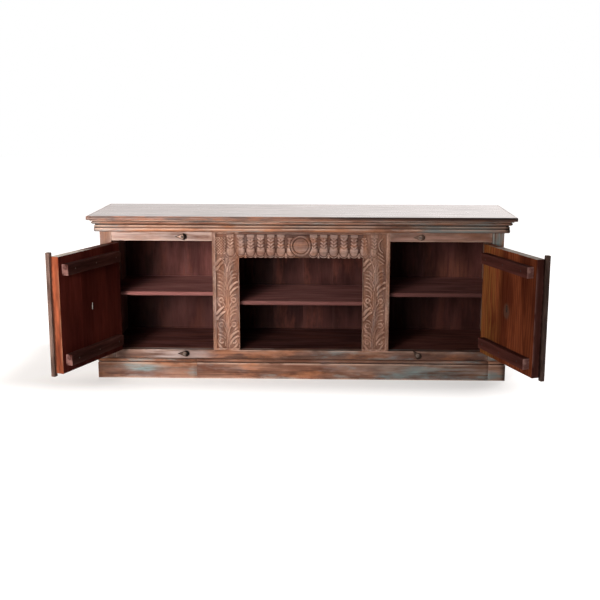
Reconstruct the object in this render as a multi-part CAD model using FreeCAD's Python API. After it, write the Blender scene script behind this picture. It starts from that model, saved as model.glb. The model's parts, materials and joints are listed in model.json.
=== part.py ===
import FreeCAD, Part
import math
import os

# Long low cabinet of reclaimed wood: open carved centre bay, a plank door on each side bay.
# Millimetres. X runs along the front to the right, Y to the back, Z up from the floor.
# The origin is on the floor, at the middle of the plinth's outline.

# Body
total_height = 680.0
body_width = 1646.0
body_depth = 425.0

# Top boards
top_thickness = 16.0
top_overhang = 44.0
top_nose_radius = 6.0
top_plank_count = 3

# Cornice moulding, from its foot up
cornice_foot_out = 10.0
cornice_foot_height = 6.0
cornice_band_out = 18.0
cornice_band_height = 21.0
cornice_cove_out = 21.0
cornice_cove_height = 14.0
cornice_cap_out = 31.0
cornice_cap_height = 9.0

# Plinth, and what stands behind it
plinth_height = 82.0
plinth_proud = 22.0
plinth_bead_height = 11.0
plinth_groove_height = 4.0
plinth_groove_depth = 4.0
bearer_width = 60.0
plinth_back_thickness = 20.0

# Face frame
frame_thickness = 36.0
stile_width = 48.0
side_opening_width = 412.0
pillar_width = 109.0
top_rail_show = 39.0
bottom_rail_show = 35.0
bottom_rail_lap = 22.0
header_show = 108.0

# Carving, cut back from the front of the pillars and the header
carving_depth = 7.0
pillar_outer_fillet = 15.0
pillar_inner_fillet = 6.0
pillar_end_fillet = 12.0
pillar_stem_width = 8.0
pillar_leaf_pitch = 44.0
pillar_leaf_length = 40.0
pillar_leaf_width = 13.0
pillar_leaf_lean = 38.0
header_top_fillet = 18.0
header_bottom_fillet = 9.0
header_leaf_pitch = 41.0
header_leaf_width = 34.0
header_leaf_room = 3.0
header_first_leaf = 52.0
medallion_radius = 40.0
medallion_ring_width = 7.0
medallion_disc_radius = 25.0

# Carcass boards
side_thickness = 22.0
side_plank_count = 3
partition_thickness = 20.0
floor_thickness = 18.0
back_thickness = 20.0
back_recess = 5.0
back_lift = 30.0
back_board_count = 12
back_rail_size = 30.0
back_rail_thickness = 20.0
shelf_thickness = 17.0
side_shelf_height = 240.0
centre_shelf_height = 202.0
cleat_size = 20.0
cleat_inset = 25.0

# Doors, and how far each stands open in the rest pose
door_thickness = 34.0
door_proud = 1.0
door_hinge_gap = 2.0
door_closing_gap = 3.5
door_top_gap = 3.0
door_bottom_gap = 5.0
door_plank_count = 3
left_open_angle = 111.7
right_open_angle = 109.6
batten_thickness = 28.0
batten_height = 43.0
batten_margin = 30.0
batten_hinge_end = 33.0
batten_free_end = 20.0
cover_bar_width = 20.0
cover_bar_thickness = 17.0
cover_bar_lap = 9.0
cover_bar_rise = 14.0
cover_bar_round = 4.0
border_width = 30.0
border_thickness = 8.0
border_margin = 25.0
batten_screw_bite = 20.0

# Hinges
hinge_height = 64.0
hinge_inset = 78.0
hinge_pin_forward = 6.0
knuckle_radius = 4.5
knuckle_count = 5
knuckle_gap = 0.3
hinge_pin_radius = 2.5
hinge_pin_head_radius = 3.6
hinge_pin_head_height = 3.0
pin_clearance = 0.05
leaf_thickness = 1.8
leaf_reach = 30.0
hinge_screw_spacing = 22.0
hinge_screw_length = 25.0

# Countersunk screws
screw_radius = 1.8
screw_head_radius = 3.6
screw_clearance = 0.05

# Turn latches
latch_length = 48.0
latch_width = 26.0
latch_thickness = 9.0
latch_round = 2.5
latch_reach_in = 121.0
latch_edge_room = 5.5
latch_foot_room = 0.8
latch_screw_radius = 2.5
latch_screw_bite = 22.0
latch_head_radius = 5.5
latch_head_height = 3.0
latch_play = 0.1
latch_washer_radius = 8.0
latch_washer_thickness = 2.2
low_right_latch_turn = 45.0

# Ring pulls
pull_plate_size = 62.0
pull_plate_thickness = 2.5
pull_ring_radius = 24.0
pull_ring_wire = 3.0
pull_eye_wire = 2.2
pull_eye_clearance = 0.4
pull_shank_radius = 3.0
pull_clinch_height = 26.0
pull_clinch_width = 3.0
pull_clinch_thickness = 2.0

Vec = FreeCAD.Vector
LEFT = -1
RIGHT = 1
SIDE_NAMES = {LEFT: "left", RIGHT: "right"}

# Heights
top_under = total_height - top_thickness
cornice_height = cornice_foot_height + cornice_band_height + cornice_cove_height + cornice_cap_height
cornice_foot = top_under - cornice_height
floor_top = plinth_height + bottom_rail_show
floor_under = floor_top - floor_thickness
opening_top = cornice_foot - top_rail_show
header_under = cornice_foot - header_show

# Depths
front = plinth_proud - (body_depth + plinth_proud) / 2
back = front + body_depth
frame_back = front + frame_thickness
back_inner = back - back_recess - back_thickness

# Distances from the middle
body_half = body_width / 2
opening_outer = body_half - stile_width
opening_inner = opening_outer - side_opening_width
pillar_inner = opening_inner - pillar_width
side_inner = body_half - side_thickness
partition_middle = (opening_inner + pillar_inner) / 2
partition_outer = partition_middle + partition_thickness / 2
partition_inner = partition_middle - partition_thickness / 2

# Doors when closed
door_face = front - door_proud
door_inner_face = door_face + door_thickness
door_hinge_edge = opening_outer - door_hinge_gap
door_free_edge = opening_inner + door_closing_gap
door_bottom = floor_top + door_bottom_gap
door_top = opening_top - door_top_gap
door_middle = (door_hinge_edge + door_free_edge) / 2
door_mid_height = (door_bottom + door_top) / 2
hinge_heights = (door_bottom + hinge_inset, door_top - hinge_inset)
hinge_axis_out = opening_outer - door_hinge_gap / 2
hinge_axis_y = front - hinge_pin_forward


def block(x_span, y_span, z_span):
    """A box between two values on each axis."""
    x0, x1 = sorted(x_span)
    y0, y1 = sorted(y_span)
    z0, z1 = sorted(z_span)
    return Part.makeBox(x1 - x0, y1 - y0, z1 - z0, Vec(x0, y0, z0))


def planks(span, count):
    """The spans of boards of equal width, edge to edge."""
    step = (span[1] - span[0]) / count
    return [(span[0] + step * n, span[0] + step * (n + 1)) for n in range(count)]


def outline(*edges):
    """A face inside edges that follow one another."""
    return Part.Face(Part.Wire([edge.toShape() for edge in edges]))


def line(start, end):
    return Part.LineSegment(Vec(*start), Vec(*end))


def arc(start, middle, end):
    return Part.Arc(Vec(*start), Vec(*middle), Vec(*end))


def rod(radius, start, direction, length):
    return Part.makeCylinder(radius, length, start, direction)


def export(name, shapes):
    """One node: a single solid, or a group of separate ones."""
    group = shapes if isinstance(shapes, list) else [shapes]
    shape = group[0] if len(group) == 1 else Part.makeCompound(group)
    shape.exportStep("parts/" + name + ".step")


def screw(tip_direction, head_centre, length, clearance=0.0):
    """A countersunk screw from the middle of its head, or its hole with a clearance."""
    head_depth = screw_head_radius - screw_radius
    head = Part.makeCone(
        screw_head_radius + clearance, screw_radius + clearance, head_depth, head_centre, tip_direction
    )
    shank = rod(screw_radius + clearance, head_centre, tip_direction, length + clearance)
    return head.fuse(shank).removeSplitter()


def mitred_run(profile, reach, side):
    """A moulding along the front, or along one end, cut to a mitre at the front corners.

    The profile is a face in the YZ plane whose front plane is at Y 0, standing out to -Y.
    """
    span = body_half + reach
    corner = Vec(side * body_half, front, 0)
    if side == 0:
        run = profile.extrude(Vec(2 * span, 0, 0))
        run.translate(Vec(-span, front, 0))
        corners = [(-body_half, front), (body_half, front), (span, front - reach), (-span, front - reach)]
    else:
        run = profile.extrude(Vec(reach + body_depth, 0, 0))
        if side == LEFT:
            run.translate(Vec(-(reach + body_depth), 0, 0))
        run.rotate(Vec(0, 0, 0), Vec(0, 0, 1), 90 * side)
        run.translate(corner - Vec(0, reach, 0))
        outer = side * span
        inner = side * body_half
        corners = [(inner, front), (outer, front - reach), (outer, back), (inner, back)]
    mitre = Part.Face(Part.makePolygon([Vec(x, y, 0) for x, y in corners + corners[:1]]))
    return run.common(mitre.extrude(Vec(0, 0, total_height)))


def cornice_profile():
    """Foot curve, flat band, cove and cap, from the foot up."""
    band_foot = cornice_foot + cornice_foot_height
    cove_foot = band_foot + cornice_band_height
    cap_foot = cove_foot + cornice_cove_height
    foot_half = math.sqrt(0.5)
    foot_turn = (
        0,
        -cornice_foot_out - (cornice_band_out - cornice_foot_out) * foot_half,
        cornice_foot + cornice_foot_height * (1 - foot_half),
    )
    cove_turn = (
        0,
        -cornice_cove_out - (cornice_cap_out - cornice_cove_out) * (1 - foot_half),
        cove_foot + cornice_cove_height * foot_half,
    )
    return outline(
        line((0, 0, cornice_foot), (0, -cornice_foot_out, cornice_foot)),
        arc((0, -cornice_foot_out, cornice_foot), foot_turn, (0, -cornice_band_out, band_foot)),
        line((0, -cornice_band_out, band_foot), (0, -cornice_band_out, cove_foot)),
        line((0, -cornice_band_out, cove_foot), (0, -cornice_cove_out, cove_foot)),
        arc((0, -cornice_cove_out, cove_foot), cove_turn, (0, -cornice_cap_out, cap_foot)),
        line((0, -cornice_cap_out, cap_foot), (0, -cornice_cap_out, top_under)),
        line((0, -cornice_cap_out, top_under), (0, 0, top_under)),
        line((0, 0, top_under), (0, 0, cornice_foot)),
    )


def plinth_profile():
    """A board with a groove and a bead along its top edge."""
    bead_foot = plinth_height - plinth_bead_height
    groove_foot = bead_foot - plinth_groove_height
    groove_out = plinth_proud - plinth_groove_depth
    return outline(
        line((0, 0, 0), (0, -plinth_proud, 0)),
        line((0, -plinth_proud, 0), (0, -plinth_proud, groove_foot)),
        line((0, -plinth_proud, groove_foot), (0, -groove_out, groove_foot)),
        line((0, -groove_out, groove_foot), (0, -groove_out, bead_foot)),
        arc(
            (0, -groove_out, bead_foot),
            (0, -plinth_proud, bead_foot + plinth_bead_height / 2),
            (0, -groove_out, plinth_height),
        ),
        line((0, -groove_out, plinth_height), (0, 0, plinth_height)),
        line((0, 0, plinth_height), (0, 0, 0)),
    )


def mouldings():
    runs = {"front": 0, "left": LEFT, "right": RIGHT}
    for name, side in runs.items():
        export("cornice_" + name, mitred_run(cornice_profile(), cornice_cap_out, side))
        export("plinth_" + name, mitred_run(plinth_profile(), plinth_proud, side))


def top_boards():
    """Boards along the front, with a rounded nose at the front and at both ends."""
    half = body_half + top_overhang
    nose = front - top_overhang
    slab = block((-half, half), (nose, back), (top_under, total_height))
    nose_radius = min(top_nose_radius, top_thickness * 0.45)
    rims = []
    for edge in slab.Edges:
        box = edge.BoundBox
        level = box.ZLength < 1e-6
        at_back = box.YMin > back - 1e-6
        if level and not at_back:
            rims.append(edge)
    slab = slab.makeFillet(nose_radius, rims)
    boards = []
    for y_span in planks((nose, back), top_plank_count):
        boards.append(slab.common(block((-half, half), y_span, (top_under, total_height))))
    export("top_boards", boards)


def leaf(length, width, x, z, lean):
    """A pointed oval standing out from the carved ground, long way up before it leans."""
    ground = front + carving_depth
    tip = (0, ground, length / 2)
    foot = (0, ground, -length / 2)
    shape = outline(arc(foot, (width / 2, ground, 0), tip), arc(tip, (-width / 2, ground, 0), foot))
    shape.rotate(Vec(0, 0, 0), Vec(0, 1, 0), lean)
    shape.translate(Vec(x, 0, z))
    return shape.extrude(Vec(0, -carving_depth, 0))


def carved_pillar(side):
    """A pillar with a sunk field, a stem up its middle and leaves that lean out to both sides."""
    whole = block((side * pillar_inner, side * opening_inner), (front, frame_back), (floor_top, top_under))
    field_inner = pillar_inner + pillar_inner_fillet
    field_outer = opening_inner - pillar_outer_fillet
    field_foot = floor_top + pillar_end_fillet
    field_top = cornice_foot - pillar_end_fillet
    ground = front + carving_depth
    sunk = block((side * field_inner, side * field_outer), (front, ground), (field_foot, field_top))
    stem_x = side * (field_inner + field_outer) / 2
    half_stem = pillar_stem_width / 2
    stem = block((stem_x - half_stem, stem_x + half_stem), (front, ground), (field_foot, field_top))
    offset = (field_outer - field_inner) / 4
    relief = [stem]
    leaf_count = int((field_top - field_foot) / pillar_leaf_pitch)
    for n in range(leaf_count):
        z = field_foot + pillar_leaf_pitch * (n + 0.5)
        for hand in (LEFT, RIGHT):
            relief.append(
                leaf(pillar_leaf_length, pillar_leaf_width, stem_x + hand * offset, z, hand * pillar_leaf_lean)
            )
    inside = [piece.common(sunk) for piece in relief]
    return whole.cut(sunk).multiFuse(inside).removeSplitter()


def carved_header():
    """The header between the pillars: a medallion with a row of leaf drops on each side."""
    whole = block((-pillar_inner, pillar_inner), (front, frame_back), (header_under, top_under))
    ground = front + carving_depth
    field_foot = header_under + header_bottom_fillet
    field_top = cornice_foot - header_top_fillet
    sunk = block((-pillar_inner, pillar_inner), (front, ground), (field_foot, field_top))
    middle = Vec(0, ground, (field_foot + field_top) / 2)
    forward = Vec(0, -1, 0)
    ring = rod(medallion_radius, middle, forward, carving_depth)
    ring = ring.cut(rod(medallion_radius - medallion_ring_width, middle, forward, carving_depth))
    disc = rod(medallion_disc_radius, middle, forward, carving_depth)
    relief = [ring, disc]
    leaf_length = field_top - field_foot - 2 * header_leaf_room
    leaf_count = int((pillar_inner - header_first_leaf) / header_leaf_pitch) + 1
    for hand in (LEFT, RIGHT):
        for n in range(leaf_count):
            x = hand * (header_first_leaf + header_leaf_pitch * n)
            relief.append(leaf(leaf_length, header_leaf_width, x, middle.z, 0))
    inside = [piece.common(sunk) for piece in relief]
    return whole.cut(sunk).multiFuse(inside).removeSplitter()


def hinge_zone(height):
    return (height - hinge_height / 2, height + hinge_height / 2)


def hinge_screw_heights():
    offsets = (-hinge_screw_spacing, 0, hinge_screw_spacing)
    return [height + offset for height in hinge_heights for offset in offsets]


def hinge_screws(side, face_out, inward, clearance=0.0):
    """Screws through one set of hinge leaves; inward is the way that their tips point along X."""
    solids = []
    for height in hinge_screw_heights():
        head = Vec(side * face_out, front + leaf_reach / 2, height)
        solids.append(screw(Vec(inward, 0, 0), head, hinge_screw_length, clearance))
    return solids


def hinge_leaf(side, height, plate_near, plate_far, plate_front, first_knuckle):
    """One leaf with every second knuckle, on the common pin axis."""
    foot, head = hinge_zone(height)
    plate_x = (side * plate_near, side * plate_far)
    leaf_solid = block(plate_x, (plate_front, front + leaf_reach), (foot, head))
    step = hinge_height / knuckle_count
    axis = Vec(side * hinge_axis_out, hinge_axis_y, 0)
    up = Vec(0, 0, 1)
    for n in range(first_knuckle, knuckle_count, 2):
        z_span = (foot + step * n + knuckle_gap / 2, foot + step * (n + 1) - knuckle_gap / 2)
        barrel = rod(knuckle_radius, axis + up * z_span[0], up, z_span[1] - z_span[0])
        tab = block(plate_x, (hinge_axis_y, plate_front), z_span)
        leaf_solid = leaf_solid.fuse(barrel).fuse(tab)
    bore = rod(hinge_pin_radius + pin_clearance, axis + up * foot, up, hinge_height)
    return leaf_solid.cut(bore).removeSplitter()


def hinge_pin(side, height):
    foot, head = hinge_zone(height)
    axis = Vec(side * hinge_axis_out, hinge_axis_y, foot)
    up = Vec(0, 0, 1)
    pin = rod(hinge_pin_radius, axis, up, hinge_height)
    top_head = rod(hinge_pin_head_radius, axis + up * hinge_height, up, hinge_pin_head_height)
    low_head = rod(hinge_pin_head_radius, axis, up * -1, hinge_pin_head_height)
    return pin.fuse(top_head).fuse(low_head).removeSplitter()


def stile(side):
    """A stile with a mortise for each hinge leaf and holes for the leaf's screws."""
    post = block((side * opening_outer, side * body_half), (front, frame_back), (0, top_under))
    mortise_x = (side * opening_outer, side * (opening_outer + leaf_thickness))
    for height in hinge_heights:
        post = post.cut(block(mortise_x, (front, front + leaf_reach), hinge_zone(height)))
    for hole in hinge_screws(side, opening_outer, side, screw_clearance):
        post = post.cut(hole)
    return post


def frame_hinges(side):
    """The fixed half of a door's hinges: leaves, pins and screws."""
    name = SIDE_NAMES[side]
    leaves = []
    for height in hinge_heights:
        solid = hinge_leaf(side, height, opening_outer, opening_outer + leaf_thickness, front, 0)
        for hole in hinge_screws(side, opening_outer, side, screw_clearance):
            solid = solid.cut(hole)
        leaves.append(solid)
    export("hinge_leaves_" + name, leaves)
    export("hinge_pins_" + name, [hinge_pin(side, height) for height in hinge_heights])


def latch_places():
    """Name, pivot X, pivot height and turn of each latch at rest."""
    out = opening_inner + latch_reach_in
    top = opening_top + latch_edge_room + latch_width / 2
    low = plinth_height + latch_foot_room + latch_drop().BoundBox.XMax
    return [
        ("latch_top_left", -out, top, 0),
        ("latch_bottom_left", -out, low, 0),
        ("latch_top_right", out, top, 0),
        ("latch_bottom_right", out, low, low_right_latch_turn),
    ]


def latch_hole(x, z, clearance):
    return rod(latch_screw_radius + clearance, Vec(x, front + latch_screw_bite, z), Vec(0, -1, 0), body_depth)


def latch_drop():
    """Outline of a flat drop with its point to the left, set on its centre of weight."""
    radius = latch_width / 2
    point = radius - latch_length
    touch_x = radius * radius / point
    touch_z = math.sqrt(radius * radius - touch_x * touch_x)
    drop = outline(
        line((point, 0, 0), (touch_x, 0, touch_z)),
        arc((touch_x, 0, touch_z), (radius, 0, 0), (touch_x, 0, -touch_z)),
        line((touch_x, 0, -touch_z), (point, 0, 0)),
    )
    drop.translate(-drop.CenterOfMass)
    return drop


def latch(x, z, turn):
    """One latch, turned on its screw."""
    solid = latch_drop().extrude(Vec(0, -latch_thickness, 0))
    rim = [edge for edge in solid.Edges if edge.BoundBox.YMax < -latch_thickness + 1e-6]
    solid = solid.makeFillet(min(latch_round, latch_thickness * 0.4), rim)
    solid.rotate(Vec(0, 0, 0), Vec(0, 1, 0), turn)
    solid.translate(Vec(x, front - latch_washer_thickness - latch_play, z))
    return solid.cut(latch_hole(x, z, pin_clearance))


def latches():
    """The four latches, and the screws and washers that hold them."""
    forward = Vec(0, -1, 0)
    screws = []
    washers = []
    head_under = front - latch_washer_thickness - latch_thickness - 2 * latch_play
    for name, x, z, turn in latch_places():
        export(name, latch(x, z, turn))
        tip = Vec(x, front + latch_screw_bite, z)
        shank = rod(latch_screw_radius, tip, forward, tip.y - head_under)
        head = rod(latch_head_radius, Vec(x, head_under, z), forward, latch_head_height)
        rim = [edge for edge in head.Edges if edge.BoundBox.YMax < head_under - latch_head_height / 2]
        head = head.makeFillet(latch_head_height * 0.6, [edge for edge in rim if edge.BoundBox.YLength < 1e-6])
        screws.append(shank.fuse(head).removeSplitter())
        washer = rod(latch_washer_radius, Vec(x, front, z), forward, latch_washer_thickness)
        washers.append(washer.cut(latch_hole(x, z, pin_clearance)))
    export("latch_screws", screws)
    export("latch_washers", washers)


def rails():
    """The plain rails of the face frame, drilled for the latch screws."""
    pieces = {
        "bottom_rail": block(
            (-opening_outer, opening_outer),
            (front, frame_back),
            (plinth_height - bottom_rail_lap, floor_top),
        )
    }
    for side in (LEFT, RIGHT):
        pieces["top_rail_" + SIDE_NAMES[side]] = block(
            (side * opening_inner, side * opening_outer), (front, frame_back), (opening_top, top_under)
        )
    for name, solid in pieces.items():
        for _, x, z, _ in latch_places():
            solid = solid.cut(latch_hole(x, z, 0))
        export(name, solid)


def carcass():
    """Sides, partitions, floor, back, shelves and what carries them."""
    depth = (frame_back, back_inner)
    for side in (LEFT, RIGHT):
        name = SIDE_NAMES[side]
        side_x = (side * side_inner, side * body_half)
        boards = [block(side_x, y, (0, top_under)) for y in planks((frame_back, back), side_plank_count)]
        export("side_boards_" + name, boards)
        partition_x = (side * partition_inner, side * partition_outer)
        export("partition_" + name, block(partition_x, depth, (floor_top, top_under)))
    export("floor_board", block((-side_inner, side_inner), depth, (floor_under, floor_top)))
    back_y = (back_inner, back_inner + back_thickness)
    back_spans = planks((-side_inner, side_inner), back_board_count)
    export("back_boards", [block(x, back_y, (back_lift, top_under)) for x in back_spans])

    bays = {
        "left": ((-side_inner, -partition_outer), side_shelf_height),
        "centre": ((-partition_inner, partition_inner), centre_shelf_height),
        "right": ((partition_outer, side_inner), side_shelf_height),
    }
    cleats = []
    rails_behind = []
    for name, (x_span, height) in bays.items():
        shelf_top = floor_top + height
        shelf_under = shelf_top - shelf_thickness
        export("shelf_" + name, block(x_span, depth, (shelf_under, shelf_top)))
        cleat_y = (frame_back + cleat_inset, back_inner - cleat_inset)
        for x, inward in ((x_span[0], 1), (x_span[1], -1)):
            cleat_x = (x, x + inward * cleat_size)
            cleats.append(block(cleat_x, cleat_y, (shelf_under - cleat_size, shelf_under)))
        rail_y = (back_inner - back_rail_thickness, back_inner)
        rails_behind.append(block(x_span, rail_y, (top_under - back_rail_size, top_under)))
    export("shelf_cleats", cleats)
    export("back_rails", rails_behind)

    plinth_back_front = back_inner - plinth_back_thickness
    export("plinth_back", block((-side_inner, side_inner), (plinth_back_front, back_inner), (0, floor_under)))
    bearers = []
    for middle in (-partition_middle, 0, partition_middle):
        bearer_x = (middle - bearer_width / 2, middle + bearer_width / 2)
        bearers.append(block(bearer_x, (frame_back, plinth_back_front), (0, floor_under)))
    export("plinth_bearers", bearers)


def door_battens(side):
    """The top and bottom battens of a closed door, with the screws that hold them."""
    batten_x = (side * (door_free_edge + batten_free_end), side * (door_hinge_edge - batten_hinge_end))
    batten_y = (door_inner_face, door_inner_face + batten_thickness)
    spans = {
        "batten_top": (door_top - batten_margin - batten_height, door_top - batten_margin),
        "batten_bottom": (door_bottom + batten_margin, door_bottom + batten_margin + batten_height),
    }
    return {name: block(batten_x, batten_y, z_span) for name, z_span in spans.items()}


def batten_screws(side, clearance=0.0):
    """One screw through each batten into each plank."""
    solids = []
    outward = Vec(0, -1, 0)
    low = door_bottom + batten_margin + batten_height / 2
    high = door_top - batten_margin - batten_height / 2
    for span in planks((door_free_edge, door_hinge_edge), door_plank_count):
        for z in (low, high):
            head = Vec(side * (span[0] + span[1]) / 2, door_inner_face + batten_thickness, z)
            solids.append(screw(outward, head, batten_thickness + batten_screw_bite, clearance))
    return solids


def door_border(side):
    """Four flat strips planted on the outside, between the hinge edge and the cover bar."""
    near = door_free_edge + cover_bar_width - cover_bar_lap + border_margin
    far = door_hinge_edge - border_margin
    low = door_bottom + border_margin
    high = door_top - border_margin
    y_span = (door_face - border_thickness, door_face)
    strips = []
    for x0 in (near, far - border_width):
        strips.append(block((side * x0, side * (x0 + border_width)), y_span, (low, high)))
    for z0 in (low, high - border_width):
        x_span = (side * (near + border_width), side * (far - border_width))
        strips.append(block(x_span, y_span, (z0, z0 + border_width)))
    return strips


def cover_bar(side):
    """The bar on the free edge, with its two front edges rounded."""
    x_span = (side * (door_free_edge - cover_bar_lap), side * (door_free_edge - cover_bar_lap + cover_bar_width))
    front_y = door_face - cover_bar_thickness
    bar = block(x_span, (front_y, door_face), (door_bottom - cover_bar_rise, door_top + cover_bar_rise))
    rims = []
    for edge in bar.Edges:
        box = edge.BoundBox
        if box.ZLength > cover_bar_width and box.YMax < front_y + 1e-6:
            rims.append(edge)
    return bar.makeFillet(cover_bar_round, rims)


def ring_pull(side):
    """Plate, staple and ring in the middle of the closed door's outside."""
    middle = Vec(side * door_middle, door_face, door_mid_height)
    across = Vec(1, 0, 0)
    half = pull_plate_size / 2
    plate = block((-half, half), (-pull_plate_thickness, 0), (-half, half))
    plate.rotate(Vec(0, 0, 0), Vec(0, 1, 0), 45)
    plate.translate(middle)
    plate = plate.cut(pull_hole(side))
    eye_radius = pull_ring_wire + pull_eye_clearance + pull_eye_wire
    eye_middle = middle - Vec(0, pull_plate_thickness + eye_radius + pull_eye_wire, 0)
    eye_side = eye_middle - across * pull_eye_wire
    eye = rod(eye_radius + pull_eye_wire, eye_side, across, 2 * pull_eye_wire)
    eye = eye.cut(rod(eye_radius - pull_eye_wire, eye_side, across, 2 * pull_eye_wire))
    eye = eye.makeFillet(pull_eye_wire / 2, [edge for edge in eye.Edges if edge.BoundBox.XLength < 1e-6])
    shank_front = eye_middle.y + eye_radius
    shank_back = door_inner_face + pull_clinch_thickness
    shank = rod(pull_shank_radius, Vec(middle.x, shank_front, middle.z), Vec(0, 1, 0), shank_back - shank_front)
    clinch = block(
        (middle.x - pull_clinch_width / 2, middle.x + pull_clinch_width / 2),
        (door_inner_face, shank_back),
        (middle.z - pull_clinch_height / 2, middle.z + pull_clinch_height / 2),
    )
    staple = eye.fuse(shank).fuse(clinch).removeSplitter()
    ring_middle = eye_middle - Vec(0, 0, pull_ring_radius)
    ring = Part.makeTorus(pull_ring_radius, pull_ring_wire, ring_middle, Vec(0, 1, 0))
    return {"pull_plate": plate, "pull_staple": staple, "pull_ring": ring}


def pull_hole(side):
    start = Vec(side * door_middle, front - body_depth / 2, door_mid_height)
    return rod(pull_shank_radius + screw_clearance, start, Vec(0, 1, 0), body_depth)


def door(side, open_angle):
    """One door, made closed and then swung open on its hinge axis."""
    pieces = door_battens(side)
    holes = batten_screws(side, screw_clearance) + hinge_screws(side, door_hinge_edge, -side, screw_clearance)
    for name in pieces:
        for hole in holes:
            pieces[name] = pieces[name].cut(hole)

    boards = []
    mortise_x = (side * door_hinge_edge, side * (door_hinge_edge - leaf_thickness))
    for span in planks((door_free_edge, door_hinge_edge), door_plank_count):
        x_span = (side * span[0], side * span[1])
        board = block(x_span, (door_face, door_inner_face), (door_bottom, door_top))
        for height in hinge_heights:
            board = board.cut(block(mortise_x, (door_face, front + leaf_reach), hinge_zone(height)))
        for hole in holes + [pull_hole(side)]:
            board = board.cut(hole)
        boards.append(board)
    pieces["boards"] = boards

    leaves = []
    for height in hinge_heights:
        solid = hinge_leaf(side, height, door_hinge_edge, door_hinge_edge - leaf_thickness, door_face, 1)
        for hole in hinge_screws(side, door_hinge_edge, -side, screw_clearance):
            solid = solid.cut(hole)
        leaves.append(solid)
    pieces["hinge_leaves"] = leaves
    pieces["screws"] = batten_screws(side) + hinge_screws(side, door_hinge_edge, -side)
    pieces["border"] = door_border(side)
    pieces["cover_bar"] = cover_bar(side)
    pieces.update(ring_pull(side))

    pin = Vec(side * hinge_axis_out, hinge_axis_y, 0)
    for name, shapes in pieces.items():
        group = shapes if isinstance(shapes, list) else [shapes]
        for shape in group:
            shape.rotate(pin, Vec(0, 0, 1), side * open_angle)
        export("door_" + SIDE_NAMES[side] + "_" + name, group)


def face_frame():
    """Stiles, rails, pillars, header and the fixed halves of the hinges."""
    rails()
    screws = []
    for side in (LEFT, RIGHT):
        export("stile_" + SIDE_NAMES[side], stile(side))
        export("carved_pillar_" + SIDE_NAMES[side], carved_pillar(side))
        frame_hinges(side)
        screws += hinge_screws(side, opening_outer, side)
    export("hinge_screws", screws)
    export("carved_header", carved_header())


os.makedirs("parts", exist_ok=True)
top_boards()
mouldings()
face_frame()
carcass()
latches()
door(LEFT, left_open_angle)
door(RIGHT, right_open_angle)
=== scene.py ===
# %% [markdown]
# # A low cabinet of old painted wood
#
# The frame of this cabinet is already measured and built: every board, hinge and latch has its place.
# This lesson gives it its looks. Each step is one short cell of code with a cell of words before it.
# The words say what the thing is on the real cabinet, how it could be made, and why it is made this way.

# %% Load the measured frame
import json
import math

import bmesh
import bpy
import numpy as np
from mathutils import Matrix, Vector

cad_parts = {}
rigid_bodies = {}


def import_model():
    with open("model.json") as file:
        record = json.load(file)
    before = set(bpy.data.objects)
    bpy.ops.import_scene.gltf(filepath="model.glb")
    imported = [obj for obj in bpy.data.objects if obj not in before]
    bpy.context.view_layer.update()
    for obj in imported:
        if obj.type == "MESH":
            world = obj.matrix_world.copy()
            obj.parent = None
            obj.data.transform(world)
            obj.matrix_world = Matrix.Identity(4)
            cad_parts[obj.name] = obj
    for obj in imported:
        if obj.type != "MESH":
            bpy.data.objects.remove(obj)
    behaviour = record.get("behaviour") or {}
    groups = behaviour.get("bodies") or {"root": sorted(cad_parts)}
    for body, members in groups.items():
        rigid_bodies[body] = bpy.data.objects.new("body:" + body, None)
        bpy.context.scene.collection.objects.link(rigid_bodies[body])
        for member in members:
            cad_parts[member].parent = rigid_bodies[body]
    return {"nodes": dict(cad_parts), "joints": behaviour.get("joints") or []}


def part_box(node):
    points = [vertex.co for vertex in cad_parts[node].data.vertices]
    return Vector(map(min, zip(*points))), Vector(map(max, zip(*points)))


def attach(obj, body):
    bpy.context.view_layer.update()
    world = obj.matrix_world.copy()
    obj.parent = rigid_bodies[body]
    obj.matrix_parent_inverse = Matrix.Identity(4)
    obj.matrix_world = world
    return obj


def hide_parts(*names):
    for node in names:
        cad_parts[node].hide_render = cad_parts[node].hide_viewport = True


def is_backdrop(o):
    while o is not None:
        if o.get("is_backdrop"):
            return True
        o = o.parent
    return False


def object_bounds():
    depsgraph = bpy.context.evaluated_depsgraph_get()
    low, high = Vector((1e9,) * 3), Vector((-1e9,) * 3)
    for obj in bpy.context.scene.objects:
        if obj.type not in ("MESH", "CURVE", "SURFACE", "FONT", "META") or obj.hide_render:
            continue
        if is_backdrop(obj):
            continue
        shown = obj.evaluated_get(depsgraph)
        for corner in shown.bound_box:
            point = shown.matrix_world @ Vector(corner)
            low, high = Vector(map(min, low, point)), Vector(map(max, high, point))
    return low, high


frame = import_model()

cad_box = [list(corner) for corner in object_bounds()]
MM = 0.001

# %% [markdown]
# ## The camera
#
# The photograph was taken from the front, about four metres away and half a metre above the top.
# The long lens keeps the sides nearly parallel. The place and the turns below come from lining up
# the cabinet's corners with the picture, so they are written as plain numbers.

# %% Camera
CAMERA_PLACE = (0.1098, -4.1851, 1.1639)
CAMERA_LENS, CAMERA_SENSOR = 59.3403, 36.0
pitch, yaw, roll = (math.radians(angle) for angle in (11.79, -1.6256, 0.0516))
level = Vector((math.sin(yaw), math.cos(yaw), 0))
right = Vector((math.cos(yaw), -math.sin(yaw), 0))
ahead = level * math.cos(pitch) - Vector((0, 0, math.sin(pitch)))
upward = level * math.sin(pitch) + Vector((0, 0, math.cos(pitch)))
side_axis = right * math.cos(roll) + upward * math.sin(roll)
up_axis = upward * math.cos(roll) - right * math.sin(roll)

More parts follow.
